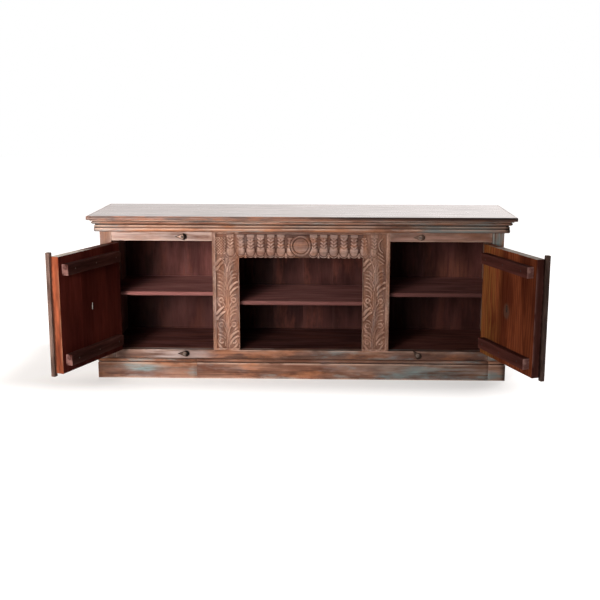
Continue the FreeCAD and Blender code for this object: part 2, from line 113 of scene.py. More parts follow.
scene = bpy.context.scene
camera = bpy.data.objects.new("camera", bpy.data.cameras.new("camera"))
scene.collection.objects.link(camera)
camera.data.lens = CAMERA_LENS
camera.data.sensor_width = CAMERA_SENSOR
turned = Matrix((side_axis, up_axis, -ahead)).transposed().to_4x4()
camera.matrix_world = Matrix.Translation(CAMERA_PLACE) @ turned
scene.camera = camera
print("camera at", [round(c, 3) for c in camera.location])

# %% [markdown]
# ## A small kit for shader nodes
#
# Materials are node graphs. A few short helpers keep the graphs readable: one adds a node and links or
# sets its inputs, one mixes two colours, one turns a band of a texture into a mask from 0 to 1, and two
# do sums with numbers and with places.

# %% Node helpers


def add(tree, kind, values=None, **settings):
    """A new node. A value that is a socket is linked, any other value is set on the input."""
    made = tree.nodes.new(kind)
    for key, value in settings.items():
        setattr(made, key, value)
    for key, value in (values or {}).items():
        if isinstance(value, bpy.types.NodeSocket):
            tree.links.new(value, made.inputs[key])
        else:
            made.inputs[key].default_value = value
    return made


def new_material(name):
    """A material and its node tree, still empty."""
    material = bpy.data.materials.new(name)
    material.use_nodes = True
    material.node_tree.nodes.clear()
    return material, material.node_tree


def colour(values):
    return (*values, 1.0)


def mixed(tree, factor, first, second, mode="MIX"):
    made = add(tree, "ShaderNodeMix", {0: factor, 6: first, 7: second}, data_type="RGBA", blend_type=mode)
    return made.outputs[2]


def band(tree, value, low, high, to_low=0.0, to_high=1.0):
    made = add(
        tree,
        "ShaderNodeMapRange",
        {"Value": value, "From Min": low, "From Max": high, "To Min": to_low, "To Max": to_high},
        interpolation_type="SMOOTHSTEP",
    )
    return made.outputs["Result"]


def maths(tree, operation, first, second=0.0):
    return add(tree, "ShaderNodeMath", {0: first, 1: second}, operation=operation).outputs[0]


def vector(tree, operation, first, second=(0, 0, 0), output="Vector"):
    return add(tree, "ShaderNodeVectorMath", {0: first, 1: second}, operation=operation).outputs[output]


print("node helpers ready")

# %% [markdown]
# ## Background
#
# The cabinet stands on a pale floor that runs into a white background. A white world would do for the
# background, but it would also flood the dark bays with light. So the world asks what kind of ray is
# looking: the camera sees white, mirrors and glass see a pale room that is dark towards the front and a
# little dimmer at both sides, and everything else gets a dim even light.

# %% World
scene.view_settings.view_transform = "Standard"
DIM_LIGHT = 0.035
MIRROR_TINT = (1, 0.95, 0.93, 1)


def seen_directly(tree):
    """1 for rays from the camera, from mirrors and through glass, 0 for the rest."""
    path = add(tree, "ShaderNodeLightPath").outputs
    some = maths(tree, "MAXIMUM", path["Is Camera Ray"], path["Is Glossy Ray"])
    return maths(tree, "MAXIMUM", some, path["Is Transmission Ray"])


world = bpy.data.worlds.new("studio")
scene.world = world
world.use_nodes = True
tree = world.node_tree
tree.nodes.clear()
by_camera = add(tree, "ShaderNodeLightPath").outputs["Is Camera Ray"]
heading = add(tree, "ShaderNodeTexCoord").outputs["Generated"]
heading = add(tree, "ShaderNodeSeparateXYZ", {0: heading}).outputs
depth_level = band(tree, heading["Y"], -0.1, 0.6, 0.04, 1.4)
side_level = band(tree, heading["X"], -0.25, 0.25, 0.84, 1.2)
far_level = band(tree, heading["X"], 0.28, 0.55, 1.0, 0.62)
mirrored = maths(tree, "SUBTRACT", 1.0, by_camera)
for dimmer in (depth_level, side_level, far_level):
    mirrored = maths(tree, "MULTIPLY", mirrored, dimmer)
bright = maths(tree, "ADD", mirrored, by_camera)
strength = add(tree, "ShaderNodeMix", {0: seen_directly(tree), 2: DIM_LIGHT, 3: bright}).outputs[0]
tint = mixed(tree, by_camera, MIRROR_TINT, (1, 1, 1, 1))
background = add(tree, "ShaderNodeBackground", {"Color": tint, "Strength": strength})
add(tree, "ShaderNodeOutputWorld", {"Surface": background.outputs[0]})
print("world:", len(tree.nodes), "nodes")

# %% [markdown]
# ## Floor
#
# The floor catches the real shadow, and adds white to what the camera sees so that it runs into the
# background. White alone would wash the shadow out. So the added white fades near the cabinet, which paints
# shade there: over a box that reaches out to the left, and as a painted shadow a little more beside the open
# left door.

# %% Floor
FLOOR_REACH = 14.0
FLOOR_PAINT, FLOOR_GLOW = (0.55, 0.525, 0.508, 1), (1, 0.985, 0.975, 1)
SHADE_SHIFT, SHADE_HALF = (0.215, 0, 0), (0.935, 0.26, 0)
DOOR_SHADE = (-0.88, -0.42, 0)

floor_mesh = bpy.data.meshes.new("floor")
corners = [(x * FLOOR_REACH, y * FLOOR_REACH, 0) for x, y in ((-1, -1), (1, -1), (1, 1), (-1, 1))]
floor_mesh.from_pydata(corners, [], [(0, 1, 2, 3)])
floor = bpy.data.objects.new("floor", floor_mesh)
scene.collection.objects.link(floor)
floor_paint, tree = new_material("floor_paint")
lit = add(tree, "ShaderNodeBsdfDiffuse", {"Color": FLOOR_PAINT}).outputs[0]
spot = add(tree, "ShaderNodeTexCoord").outputs["Object"]
# Painted shade: the added white fades near the cabinet, over a box that reaches out to the left.
folded = vector(tree, "ABSOLUTE", vector(tree, "ADD", spot, SHADE_SHIFT))
beyond = vector(tree, "MAXIMUM", vector(tree, "SUBTRACT", folded, SHADE_HALF))
away = band(tree, vector(tree, "LENGTH", beyond, output="Value"), 0.0, 0.3, 0.51, 1.05)
# Painted shadow: the added white fades more beside the open left door.
by_door = band(tree, vector(tree, "DISTANCE", spot, DOOR_SHADE, "Value"), 0.05, 0.36, 0.16, 0.0)
glow_level = maths(tree, "SUBTRACT", away, by_door)
glow = add(tree, "ShaderNodeEmission", {"Color": FLOOR_GLOW, "Strength": glow_level}).outputs[0]
both = add(tree, "ShaderNodeAddShader", {0: lit, 1: glow}).outputs[0]
choice = add(tree, "ShaderNodeMixShader", {0: seen_directly(tree), 1: lit, 2: both})
add(tree, "ShaderNodeOutputMaterial", {"Surface": choice.outputs[0]})
floor_mesh.materials.append(floor_paint)
floor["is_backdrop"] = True
print("floor:", 2 * FLOOR_REACH, "m wide")

# %% [markdown]
# ## Lamps
#
# One soft lamp stands to the left of the camera and is aimed at the cabinet's left end, so that end of the
# front is much brighter than the right. It is two lamps in one place: the smaller leaves no mirror image, and
# the wider one is mirrored softly. A single lamp would show as a small white disc in the lacquered top from
# some sides. Two lamps behind light the edges, and a weak one at the right softens the shadows.

# %% Lamps
KEY_PLACE, KEY_TINT = (-2.0, -4.1, 1.25), (1.0, 0.97, 0.94)


def lamp(name, place, target, size, power, spread=180, tint=(1, 1, 1)):
    data = bpy.data.lights.new(name, "AREA")
    data.shape = "DISK"
    data.size = size
    data.energy = power
    data.spread = math.radians(spread)
    data.color = tint
    made = bpy.data.objects.new(name, data)
    scene.collection.objects.link(made)
    made.location = place
    made.rotation_euler = (Vector(target) - Vector(place)).to_track_quat("-Z", "Y").to_euler()
    made.visible_camera = False
    return made


for name, aim, size, power, spread, in_mirrors in (
    ("key_lamp", -1.05, 1.4, 37.0, 60, False),
    ("key_lamp_wide", -1.5, 3.2, 15.0, 40, True),
):
    key = lamp(name, KEY_PLACE, (aim, -0.2, 0.4), size, power, spread, KEY_TINT)
    key.visible_glossy = in_mirrors
for name, place, height, size, power in (
    ("rim_lamp_right", (2.4, 2.4, 2.4), 0.5, 1.8, 50.0),
    ("rim_lamp_left", (-2.4, 2.4, 2.4), 0.5, 1.8, 16.0),
    ("fill_lamp", (2.2, -3.0, 1.6), 0.4, 2.2, 1.5),
):
    lamp(name, place, (0, 0, height), size, power)

# %% [markdown]
# ## Faces
#
# A mesh is a list of points and a list of faces, and each face names its points by number. Most pieces here
# are made from grids and tubes of points, so the faces of a grid and of a tube are written once. A face also
# has a front and a back. It is easier to turn all faces of a closed mesh outwards at the end than to number
# every one of them the right way round.

# %% Faces


def face_outwards(mesh):
    """Turns a closed mesh's faces so that they all look out."""
    solid = bmesh.new()
    solid.from_mesh(mesh)
    bmesh.ops.recalc_face_normals(solid, faces=solid.faces)
    solid.to_mesh(mesh)
    solid.free()


def grid_faces(rows, columns):
    """The four-sided faces of a grid of points that are numbered row by row."""
    index = np.arange(rows * columns).reshape(rows, columns)
    return np.stack([index[:-1, :-1], index[1:, :-1], index[1:, 1:], index[:-1, 1:]], -1).reshape(-1, 4)


def tube_faces(rings, count):
    """The faces of a tube of rings with count points each, and of its two ends."""
    faces = []
    for first in range(0, (rings - 1) * count, count):
        for i in range(count):
            j = (i + 1) % count
            faces.append((first + i, first + j, first + count + j, first + count + i))
    return faces + [tuple(range(count)), tuple(range((rings - 1) * count, rings * count))]


print("a cube has", len(tube_faces(2, 4)), "faces")

# %% [markdown]
# ## What every board carries
#
# A board looks alive when its grain follows its length, its edges are rubbed pale and no two boards have the
# same tone. A material can only do that if the mesh tells it which way is along, where the edges are
# and which board this is. So each wooden mesh made here carries five attributes: `place`, a point with the
# grain along its first number; `edge`, from 0 on a face to 1 on a rubbed edge, and more where it is pale all
# over, as on batten ends and, as a painted highlight, on the doors' top ends; `cavity`, from 0 outside
# to 1 deep in a carving, in grime and in painted shade; `paint`, from 0 on bare wood to 1 where old paint is
# left; and `board`, one number for each board. The alternative is a UV map painted by hand for each board,
# which is slow and no better.
#
# A piece may be one board or many. Its parts are gathered first, with their attributes, and become one mesh
# at the end. A board that is given no number draws one, from a seed that never changes.

# %% Mesh gathering
luck = np.random.default_rng(7)


class Gather:
    """Collects the parts of one piece, then makes the object."""

    def __init__(self):
        self.points, self.faces, self.place = [], [], []
        self.edge, self.cavity, self.paint, self.board = [], [], [], []
        self.count = 0

    def add(self, points, faces, place, edge=None, cavity=None, paint=None, board=None):
        zero = np.zeros(len(points))
        number = luck.random() if board is None else board
        self.points.append(np.asarray(points, float))
        self.faces.extend([tuple(int(i) + self.count for i in face) for face in faces])
        self.place.append(np.asarray(place, float))
        for store, values in ((self.edge, edge), (self.cavity, cavity), (self.paint, paint)):
            store.append(zero if values is None else np.asarray(values, float))
        self.board.append(zero + number)
        self.count += len(points)

    def mesh(self, name, material, turn=None):
        points = np.concatenate(self.points)
        if turn is not None:
            points = points @ np.array(turn.to_3x3()).T + np.array(turn.translation)
        mesh = bpy.data.meshes.new(name)
        mesh.from_pydata(points.tolist(), [], self.faces)
        face_outwards(mesh)
        place = mesh.attributes.new("place", "FLOAT_VECTOR", "POINT")
        place.data.foreach_set("vector", np.concatenate(self.place).ravel())
        values = {"edge": self.edge, "cavity": self.cavity, "paint": self.paint, "board": self.board}
        for key, parts in values.items():
            made = mesh.attributes.new(key, "FLOAT", "POINT")
            made.data.foreach_set("value", np.concatenate(parts))
        mesh.polygons.foreach_set("use_smooth", [True] * len(mesh.polygons))
        mesh.materials.append(material)
        return mesh

    def make(self, name, material, body, slot, *nodes, turn=None):
        piece = bpy.data.objects.new(name, self.mesh(name, material, turn))
        scene.collection.objects.link(piece)
        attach(piece, body)
        if nodes:
            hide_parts(*nodes)
        return piece


print("pieces carry place, edge, cavity, paint and board")

# %% [markdown]
# ## Boards with rubbed edges
#
# A real board never has a knife edge, and its faces are not quite flat. A cube with a bevel modifier gives
# the edge, but not the attributes. So a board is made as a box of grids: the points near its rim are pulled
# onto a small radius, all points sink by a wave of less than a millimetre, and the distance to the
# second nearest face gives the wear.

# %% Grids and waves
TINY = 1e-6


def stops(low, high, radius, cell):
    """Where one side of a board is divided: close together near its rim, and by the cell between."""
    near = (0, 0.3 * radius, radius)
    marks = [low + gap for gap in near] + [high - gap for gap in near]
    span, rim = high - low, 3 * radius
    if span > 8 * radius:
        marks += list(np.linspace(low + rim, high - rim, max(2, int(span / cell) + 1)))
    return np.unique(np.round(marks, 7))


def box_grid(low, high, radius, cell, lines=()):
    """Points and four-sided faces of a closed box, with its points welded. lines are more heights to
    divide it at."""
    marks = [stops(low[i], high[i], radius, cell) for i in range(3)]
    marks[2] = np.unique(np.round(np.concatenate([marks[2], lines]), 7))
    points, faces, count = [], [], 0
    for axis in range(3):
        u, v = [i for i in range(3) if i != axis]
        grid_u, grid_v = np.meshgrid(marks[u], marks[v], indexing="ij")
        quads = grid_faces(*grid_u.shape)
        for end in (low[axis], high[axis]):
            side = np.zeros((grid_u.size, 3))
            side[:, u] = grid_u.ravel()
            side[:, v] = grid_v.ravel()
            side[:, axis] = end
            points.append(side)
            faces.append(quads + count)
            count += grid_u.size
    points = np.concatenate(points)
    faces = np.concatenate(faces)
    microns = np.round(points / TINY).astype(np.int64)
    _, first, welded = np.unique(microns, axis=0, return_index=True, return_inverse=True)
    return points[first], welded.ravel()[faces]


def rounded(points, low, high, radius):
    """For each point of a box: its distance to the second nearest face, its place on a core that is
    smaller by the radius, and its way out from there."""
    gaps = np.sort(np.minimum(points - low, high - points), axis=1)
    core = np.clip(points, low + radius, high - radius)
    out = points - core
    return gaps[:, 1], core, out / np.linalg.norm(out, axis=1)[:, None]


def wave(points, seed, length=0.23):
    """A slow random wave between 0 and 1. length is in the unit of the points."""
    own = np.random.default_rng(seed)
    total = np.zeros(len(points))
    for step in range(4):
        heading = own.normal(size=3)
        heading /= np.linalg.norm(heading)
        total += np.sin(points @ heading * 2 * math.pi / (length * (0.5 + 0.4 * step)) + own.random() * 6.3)
    return 0.5 + total / 8


def soft_spot(points, x, half_x, z=0.0, half_z=math.inf, power=2):
    """1 in the middle of a spot on a front and 0 well past its half sizes, for old paint and grime."""
    across, rise = abs(points[:, 0] - x) / half_x, abs(points[:, 2] - z) / half_z
    return np.exp(-(across**power) - rise**power)


print("grids and waves ready")

# %% [markdown]
# With these, one function makes a board and fills in its attributes, and another divides a box into boards.

# %% Board maker
EDGE_WEAR = 4 * MM
LOW_SHADE_FADE = 30 * MM
LAP = 0.7 * MM


def add_board(
    gather, low, high, grain, radius=1.6 * MM, cell=45 * MM, sink=0.5 * MM, seed=1, board=None,
    ends=0.0, face=0.0, paint=0.0, shaded_side=0, rub=1.0, grime_and_shade=0.0,
):
    """One board. grain is the axis that its length follows: 0, 1 or 2. ends is how pale its end grain is,
    face how worn its front face is, or how dark with painted shade below 0, and rub how worn its edges are.
    paint is how much old paint it keeps, or a function that says so for each point. shaded_side is -1 or 1
    where its left or right face is darkened with painted shade. grime_and_shade is how dark the lower half of
    its front is, in painted shade."""
    low, high = np.array(low, float), np.array(high, float)
    radius = min(radius, (high - low).min() * 0.3)
    points, faces = box_grid(low, high, radius, cell)
    second_gap, core, out = rounded(points, low, high, radius)
    # Painted shade on the face towards the bay and on the lower half of the front.
    inside = (points[:, 0] - low[0] if shaded_side < 0 else high[0] - points[:, 0]) < 0.5 * radius
    below_middle = (low[2] + high[2]) / 2 - points[:, 2]
    front_half = points[:, 1] < (low[1] + high[1]) / 2
    low_shade = grime_and_shade * np.clip(below_middle / LOW_SHADE_FADE, 0, 1) * front_half
    cavity = np.maximum(1.0 * inside * abs(shaded_side), low_shade)
    edge = rub * np.exp(-second_gap / EDGE_WEAR) * (1 - cavity)
    at_end = np.minimum(points[:, grain] - low[grain], high[grain] - points[:, grain]) < radius / 2
    front = points[:, 1] - low[1] < radius / 2
    edge = np.maximum(np.maximum(edge, ends * at_end), face * front)
    cavity = np.maximum(cavity, -face * front)
    order = [grain] + [i for i in range(3) if i != grain]
    place = points[:, order] - low[order]
    moved = core + out * radius - out * (wave(points, seed) * sink)[:, None]
    kept = paint(points) if callable(paint) else np.full(len(points), paint)
    gather.add(moved, faces, place, edge=edge, cavity=cavity, board=board, paint=kept)


def split(low, high, axis, count):
    """The boxes of boards that lie side by side along one axis, lapped a little to let no light through."""
    marks = np.linspace(low[axis], high[axis], count + 1)
    for i in range(count):
        first, last = np.array(low, float), np.array(high, float)
        first[axis] = marks[i] - (LAP if i else 0)
        last[axis] = marks[i + 1] + (LAP if i < count - 1 else 0)
        yield first, last


print("board maker ready")

# %% [markdown]
# ## Wood, in several finishes
#
# One recipe makes every wood here. Large soft patches change the tone along a board, long streaks follow
# the grain, and hair-fine fibres give the surface its tooth. On top lies what the years left: dark cracks,
# grey weathering, remains of orange and blue-green paint, dirt in the carvings and pale rubbed edges. Painted
# shade darkens hollows and shaded places, and painted highlights lighten some edges. Most
# layers are a noise texture stretched along the grain and cut to a mask. A photograph of wood would look
# right from one side only, and these nodes look right from all sides. One pattern is no noise and comes
# first: the arches on a board sawn flat.

# %% Arched grain
ARCH_TOP = (0.30, 0.066, 0.0)
ARCH_STRETCH = (0.085, 1.0, 0.0)
ARCH_LINE = 0.015


def arched_grain(tree, place, cloud):
    """The pointed arches that growth rings draw on a board sawn flat: how far a point is from a long core."""
    squeezed = vector(tree, "MULTIPLY", vector(tree, "SUBTRACT", place, ARCH_TOP), ARCH_STRETCH)
    gap = vector(tree, "LENGTH", squeezed, output="Value")
    bent = maths(tree, "ADD", gap, maths(tree, "MULTIPLY", cloud, 0.03))
    turns = maths(tree, "MULTIPLY", bent, 2 * math.pi / ARCH_LINE)
    return band(tree, maths(tree, "SINE", turns), 0.1, 1.0)


print("arches lie", ARCH_LINE / MM, "mm apart")

# %% [markdown]
# The recipe reads the board's number first, and moves the whole pattern by it, so that boards with different
# numbers show different patches. Then it lays one layer over the other, from the bare wood to the dirt.

# %% Wood recipe
BOARD_SHIFT = (31.0, 17.0, 11.0)
GREY_TINT, BLUE_TINT = (0.25, 0.235, 0.24), (0.15, 0.235, 0.245)


def wood(
    name, dark, light, rubbed, grey=0.0, rust=0.0, verdigris=0.0, streaks=0.35, cracks=0.5, wear=0.8,
    roughness=(0.5, 0.75), specular=0.3, relief=0.25, coat=0.0, spread=0.14, dirt_and_shade_tint=None, arches=0.0,
    paint_tint=(0.20, 0.33, 0.34), rust_tint=(0.36, 0.14, 0.065), cloud=(2.2, 11.0), fine=1.0,
):
    """A wood from the dark and light tone of its patches and the tone of its rubbed edges. The rest says how
    much there is of each layer, which tint it has, and how fine its pattern is."""
    material, tree = new_material(name)

    def read(key, kind="Fac"):
        return add(tree, "ShaderNodeAttribute", attribute_name=key).outputs[kind]

    number = read("board")
    shift = {axis: maths(tree, "MULTIPLY", number, amount) for axis, amount in enumerate(BOARD_SHIFT)}
    shift = add(tree, "ShaderNodeCombineXYZ", shift).outputs[0]
    point = vector(tree, "ADD", read("place", "Vector"), shift)

    def grain(along, across, detail=3.0, rough=0.55, offset=0.0):
        stretch = {"Vector": point, "Location": (offset, offset, 0), "Scale": (along, across, across)}
        stretched = add(tree, "ShaderNodeMapping", stretch).outputs[0]
        pattern = {"Vector": stretched, "Scale": 1.0, "Detail": detail, "Roughness": rough}
        return add(tree, "ShaderNodeTexNoise", pattern).outputs[0]

    # The wood itself: soft patches, streaks along the grain, fine fibres and each board's own tone.
    patches = grain(*cloud)
    streak = grain(6.0, 62.0, 4.0, 0.6, 3.0)
    fibre = grain(22.0, 420.0, 3.0, 0.6, 5.0)

    tone = mixed(tree, band(tree, patches, 0.34, 0.66), colour(dark), colour(light))
    own_tone = band(tree, maths(tree, "FRACT", number), 0.0, 1.0, 1.0 - spread, 1.0 + spread)
    line = band(tree, streak, 0.3, 0.7, 1.0 - streaks, 1.0 + streaks)
    hair = band(tree, fibre, 0.3, 0.7, 0.86, 1.14)
    shade = maths(tree, "MULTIPLY", maths(tree, "MULTIPLY", line, hair), own_tone)
    shade = add(tree, "ShaderNodeCombineXYZ", {axis: shade for axis in range(3)}).outputs[0]
    tone = mixed(tree, 1.0, tone, shade, "MULTIPLY")

    # What the years laid on it. Each layer has a noise of its own, and the mottle breaks up all of them.
    mottle = maths(tree, "MULTIPLY", grain(30.0, 95.0, 2.0, 0.6, 83.0), 0.3)
    for amount, tint, along, across, offset in (
        (grey, GREY_TINT, 3.6, 12.0, 11.0),
        (rust, rust_tint, 4.0, 17.0, 23.0),
        (verdigris, BLUE_TINT, 3.6, 19.0, 37.0),
    ):
        if amount:
            mask = maths(tree, "ADD", grain(along * fine, across * fine, 3.0, 0.5, offset), mottle)
            mask = maths(tree, "MULTIPLY", band(tree, mask, 0.64, 0.86), amount)
            tone = mixed(tree, mask, tone, colour(tint))
    left = maths(tree, "MULTIPLY", read("paint"), band(tree, streak, 0.3, 0.6))
    tone = mixed(tree, left, tone, colour(paint_tint))
    if arches:
        rings = maths(tree, "MULTIPLY", arched_grain(tree, read("place", "Vector"), patches), arches)
        tone = mixed(tree, rings, tone, colour([c * 0.5 for c in dark]))

    # What use did to it, and a painted highlight on the doors' top ends: an edge above 1 is pale
    # all over, a lower one only where a noise lets it.
    sure = maths(tree, "MAXIMUM", maths(tree, "SUBTRACT", read("edge"), 1.0))
    edge = maths(tree, "MULTIPLY", read("edge"), band(tree, grain(9.0, 30.0, 3.0, 0.6, 51.0), 0.35, 0.6))
    edge = maths(tree, "ADD", edge, sure)
    tone = mixed(tree, maths(tree, "MULTIPLY", edge, wear), tone, colour(rubbed))
    crack = band(tree, grain(2.6, 130.0, 2.0, 0.5, 71.0), 0.30, 0.37, cracks, 0.0)
    tone = mixed(tree, crack, tone, colour([c * 0.22 for c in dark]))
    # Dirt and painted shade: the mesh says how much, and this tint is their colour.
    darkening = maths(tree, "MULTIPLY", read("cavity"), 0.85)
    tone = mixed(tree, darkening, tone, colour(dirt_and_shade_tint or [c * 0.30 for c in dark]))

    # A little height for the light to catch.
    height = maths(tree, "ADD", maths(tree, "MULTIPLY", streak, 0.6), maths(tree, "MULTIPLY", fibre, 0.4))
    height = maths(tree, "SUBTRACT", height, crack)
    bump = add(tree, "ShaderNodeBump", {"Strength": relief, "Distance": 0.0012, "Height": height})
    looks = {
        "Base Color": tone,
        "Roughness": band(tree, streak, 0.3, 0.7, roughness[1], roughness[0]),
        "Specular IOR Level": specular,
        "Coat Weight": band(tree, read("edge"), 0.1, 0.5, coat, 0.0) if coat else 0.0,
        "Coat Roughness": 0.22,
        "Normal": bump.outputs[0],
    }
    surface = add(tree, "ShaderNodeBsdfPrincipled", looks)
    add(tree, "ShaderNodeOutputMaterial", {"Surface": surface.outputs[0]})
    return material


print("wood recipe ready")

# %% [markdown]
# The face of the cabinet is pale and weathered, with paint left here and there. The inside is stained dark,
# the doors are red, and the top is lacquered. What some of them share is written once.

# %% Woods
FRAME_FINISH = {"spread": 0.5, "cloud": (4.5, 13.0), "dirt_and_shade_tint": (0.02, 0.009, 0.006)}
CARVED_FINISH = {"cracks": 0.15, "streaks": 0.2, "wear": 1.0, "cloud": (6.0, 14.0), "fine": 2.2}
DOOR_RUBBED = (0.66, 0.57, 0.50)
DOOR_FINISH = {"wear": 1.0, "specular": 0.02, "relief": 0.15}

weathered = wood(
    "weathered_wood", (0.13, 0.050, 0.029), (0.29, 0.146, 0.096), (0.46, 0.30, 0.23),
    grey=0.3, rust=0.75, verdigris=0.6, streaks=0.22, **FRAME_FINISH,
)
faded = wood(
    "faded_wood", (0.155, 0.066, 0.043), (0.34, 0.184, 0.135), (0.48, 0.32, 0.255),
    grey=0.12, rust=0.35, verdigris=0.2, streaks=0.22, paint_tint=(0.37, 0.30, 0.275), **FRAME_FINISH,
)
patched = wood(
    "patched_wood", (0.13, 0.055, 0.036), (0.29, 0.156, 0.115), (0.48, 0.32, 0.255),
    grey=0.3, rust=0.55, verdigris=0.5, streaks=0.25, paint_tint=(0.30, 0.232, 0.215), **FRAME_FINISH,
)
carved = wood(
    "carved_wood", (0.158, 0.069, 0.043), (0.28, 0.147, 0.102), (0.50, 0.32, 0.245),
    grey=0.2, rust=0.3, verdigris=0.15, dirt_and_shade_tint=(0.085, 0.030, 0.018), spread=0.3, **CARVED_FINISH,
)
header_wood = wood(
    "header_wood", (0.15, 0.071, 0.051), (0.26, 0.15, 0.115), (0.50, 0.34, 0.28),
    grey=0.25, rust=0.45, dirt_and_shade_tint=(0.04, 0.015, 0.010), **CARVED_FINISH,
)
lacquered = wood(
    "top_wood", (0.11, 0.058, 0.044), (0.21, 0.125, 0.10), (0.42, 0.155, 0.076),
    grey=0.2, cracks=0.2, streaks=0.3, roughness=(0.26, 0.42), specular=0.25, relief=0.04, coat=0.7,
)
stained = wood(
    "stained_wood", (0.036, 0.012, 0.0105), (0.074, 0.026, 0.0225), (0.14, 0.06, 0.05),
    rust=0.5, cracks=0.12, streaks=0.09, wear=0.4, specular=0.1, relief=0.15, spread=0.45,
    rust_tint=(0.12, 0.036, 0.024), cloud=(4.0, 12.0), paint_tint=(0.15, 0.053, 0.032),
)
shelf_wood = wood(
    "shelf_wood", (0.135, 0.05, 0.045), (0.21, 0.088, 0.079), (0.24, 0.11, 0.095),
    cracks=0.2, streaks=0.2, wear=1.0, specular=0.12, relief=0.15, spread=0.35,
)
# Painted shade: the left door's wood is a much darker copy of the right's red, turned away from the lamp.
door_woods = {
    "left": wood(
        "door_wood_left_shaded", (0.042, 0.0068, 0.0048), (0.070, 0.0123, 0.0084), DOOR_RUBBED,
        cracks=0.1, streaks=0.1, paint_tint=(0.185, 0.045, 0.019), **DOOR_FINISH,
    ),
    "right": wood(
        "door_wood_right", (0.115, 0.025, 0.0108), (0.305, 0.076, 0.0305), DOOR_RUBBED,
        cracks=0.15, streaks=0.16, paint_tint=(0.29, 0.115, 0.030), dirt_and_shade_tint=(0.125, 0.062, 0.043),
        arches=0.5, **DOOR_FINISH,
    ),
}
batten_wood = wood(
    "batten_wood", (0.050, 0.0154, 0.012), (0.092, 0.028, 0.021), (0.46, 0.24, 0.21),
    cracks=0.2, streaks=0.2, wear=0.6, specular=0.02, relief=0.2, spread=0.65,
)
edge_wood = wood(
    "door_edge_wood", (0.10, 0.020, 0.0085), (0.20, 0.050, 0.022), (0.34, 0.15, 0.085),
    cracks=0.5, streaks=0.5, wear=0.7, specular=0.1, cloud=(6.0, 40.0),
)
bar_wood = wood(
    "bar_wood", (0.10, 0.048, 0.035), (0.21, 0.122, 0.094), (0.30, 0.20, 0.165),
    grey=0.12, cracks=0.6, streaks=0.4, wear=0.4, spread=0.5, cloud=(6.0, 40.0),
)
latch_wood = wood(
    "latch_wood", (0.24, 0.14, 0.105), (0.36, 0.23, 0.18), (0.50, 0.35, 0.285),
    cracks=0.2, streaks=0.2, specular=0.1, dirt_and_shade_tint=(0.004, 0.002, 0.0015), spread=0.6,
)
print("woods:", [m.name for m in bpy.data.materials if "wood" in m.name])

# %% [markdown]
# ## Iron and steel
#
# The hinges and ring pulls are blackened iron, rubbed brighter in places and spotted with rust. The screws
# are dull steel. These parts keep the measured shapes, so their materials work on plain object coordinates.

# %% Metals
RUST = (0.13, 0.05, 0.022)


def metal(name, dark, light, rust, roughness, shine=0.9):
    material, tree = new_material(name)
    place = add(tree, "ShaderNodeTexCoord").outputs["Object"]
    cloud = add(tree, "ShaderNodeTexNoise", {"Vector": place, "Scale": 70.0, "Detail": 4.0}).outputs[0]
    speck = add(tree, "ShaderNodeTexNoise", {"Vector": place, "Scale": 420.0, "Detail": 3.0}).outputs[0]
    tone = mixed(tree, band(tree, cloud, 0.35, 0.65), colour(dark), colour(light))
    spots = maths(tree, "MULTIPLY", band(tree, speck, 0.52, 0.66), rust)
    bump = add(tree, "ShaderNodeBump", {"Strength": 0.2, "Distance": 0.0004, "Height": speck})
    looks = {
        "Base Color": mixed(tree, spots, tone, colour(RUST)),
        "Metallic": band(tree, spots, 0.0, 0.6, shine, 0.15),
        "Roughness": band(tree, cloud, 0.3, 0.7, roughness - 0.1, roughness + 0.15),
        "Normal": bump.outputs[0],
    }
    surface = add(tree, "ShaderNodeBsdfPrincipled", looks)
    add(tree, "ShaderNodeOutputMaterial", {"Surface": surface.outputs[0]})
    return material


iron = metal("black_iron", (0.035, 0.03, 0.027), (0.09, 0.078, 0.068), 0.7, 0.5)
steel = metal("screw_steel", (0.12, 0.095, 0.08), (0.20, 0.165, 0.14), 0.5, 0.52)
old_screws = metal("old_screws", (0.030, 0.020, 0.017), (0.065, 0.045, 0.038), 0.8, 0.6)
zinc = metal("zinc_staple", (0.21, 0.20, 0.185), (0.31, 0.295, 0.275), 0.2, 0.55, shine=0.25)
metal_nodes = 0
for name, node in frame["nodes"].items():
    finish = None
    if name == "door_left_pull_staple":
        finish = zinc
    elif "screws" in name:
        finish = old_screws if name.startswith("door") else steel
    elif any(word in name for word in ("hinge", "pull", "washers")):
        finish = iron
    if finish:
        metal_nodes += 1
        for slot in node.material_slots:
            slot.material = finish
print("metal nodes:", metal_nodes)

# %% [markdown]
# ## The plain boards of the carcass
#
# Sides, back, floor, partitions, shelves and rails are boards with straight grain. Their boxes are
# read from the frame, so nothing is measured twice. A side is three boards wide and the back twelve.
# The numbers that boards get here choose their patterns, and their fractions choose the tones.

# %% Face frame and sides
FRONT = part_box("stile_left")[0].y
SIDES = {"left": -1, "right": 1}
WORN = {"slot": "weathered_wood", "sink": 0.7 * MM, "cell": 12 * MM}
SIDE_TONES = [{"board": number} for number in (1.45, 2.5, 3.4)]
STILES = {"left": (faded, 2.14, 0.0), "right": (weathered, 4.75, 0.8)}
TOP_RAILS = {"left": (5.46, 0.55), "right": (6.47, 0.1)}


def boards(name, node, material, slot, grain, axis=0, count=1, seed=1, front_wear_and_shade=0.0, each=None, **settings):
    """The boards of one node, side by side. each has the settings of one board after another."""
    gather = Gather()
    low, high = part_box(node)
    for step, (first, last) in enumerate(split(low, high, axis, count)):
        settings.update(each[step] if each else {})
        wear_and_shade = front_wear_and_shade if step == 0 else 0.0
        add_board(gather, first, last, grain, seed=seed + step, face=wear_and_shade, **settings)
    return gather.make(name, material, "cabinet", slot, node)


def rail_marks(points):
    """Pale paint on both sides of the lower left latch."""
    return 0.95 * soft_spot(points, -0.565, 0.085, power=4) + 0.6 * soft_spot(points, -0.42, 0.045)


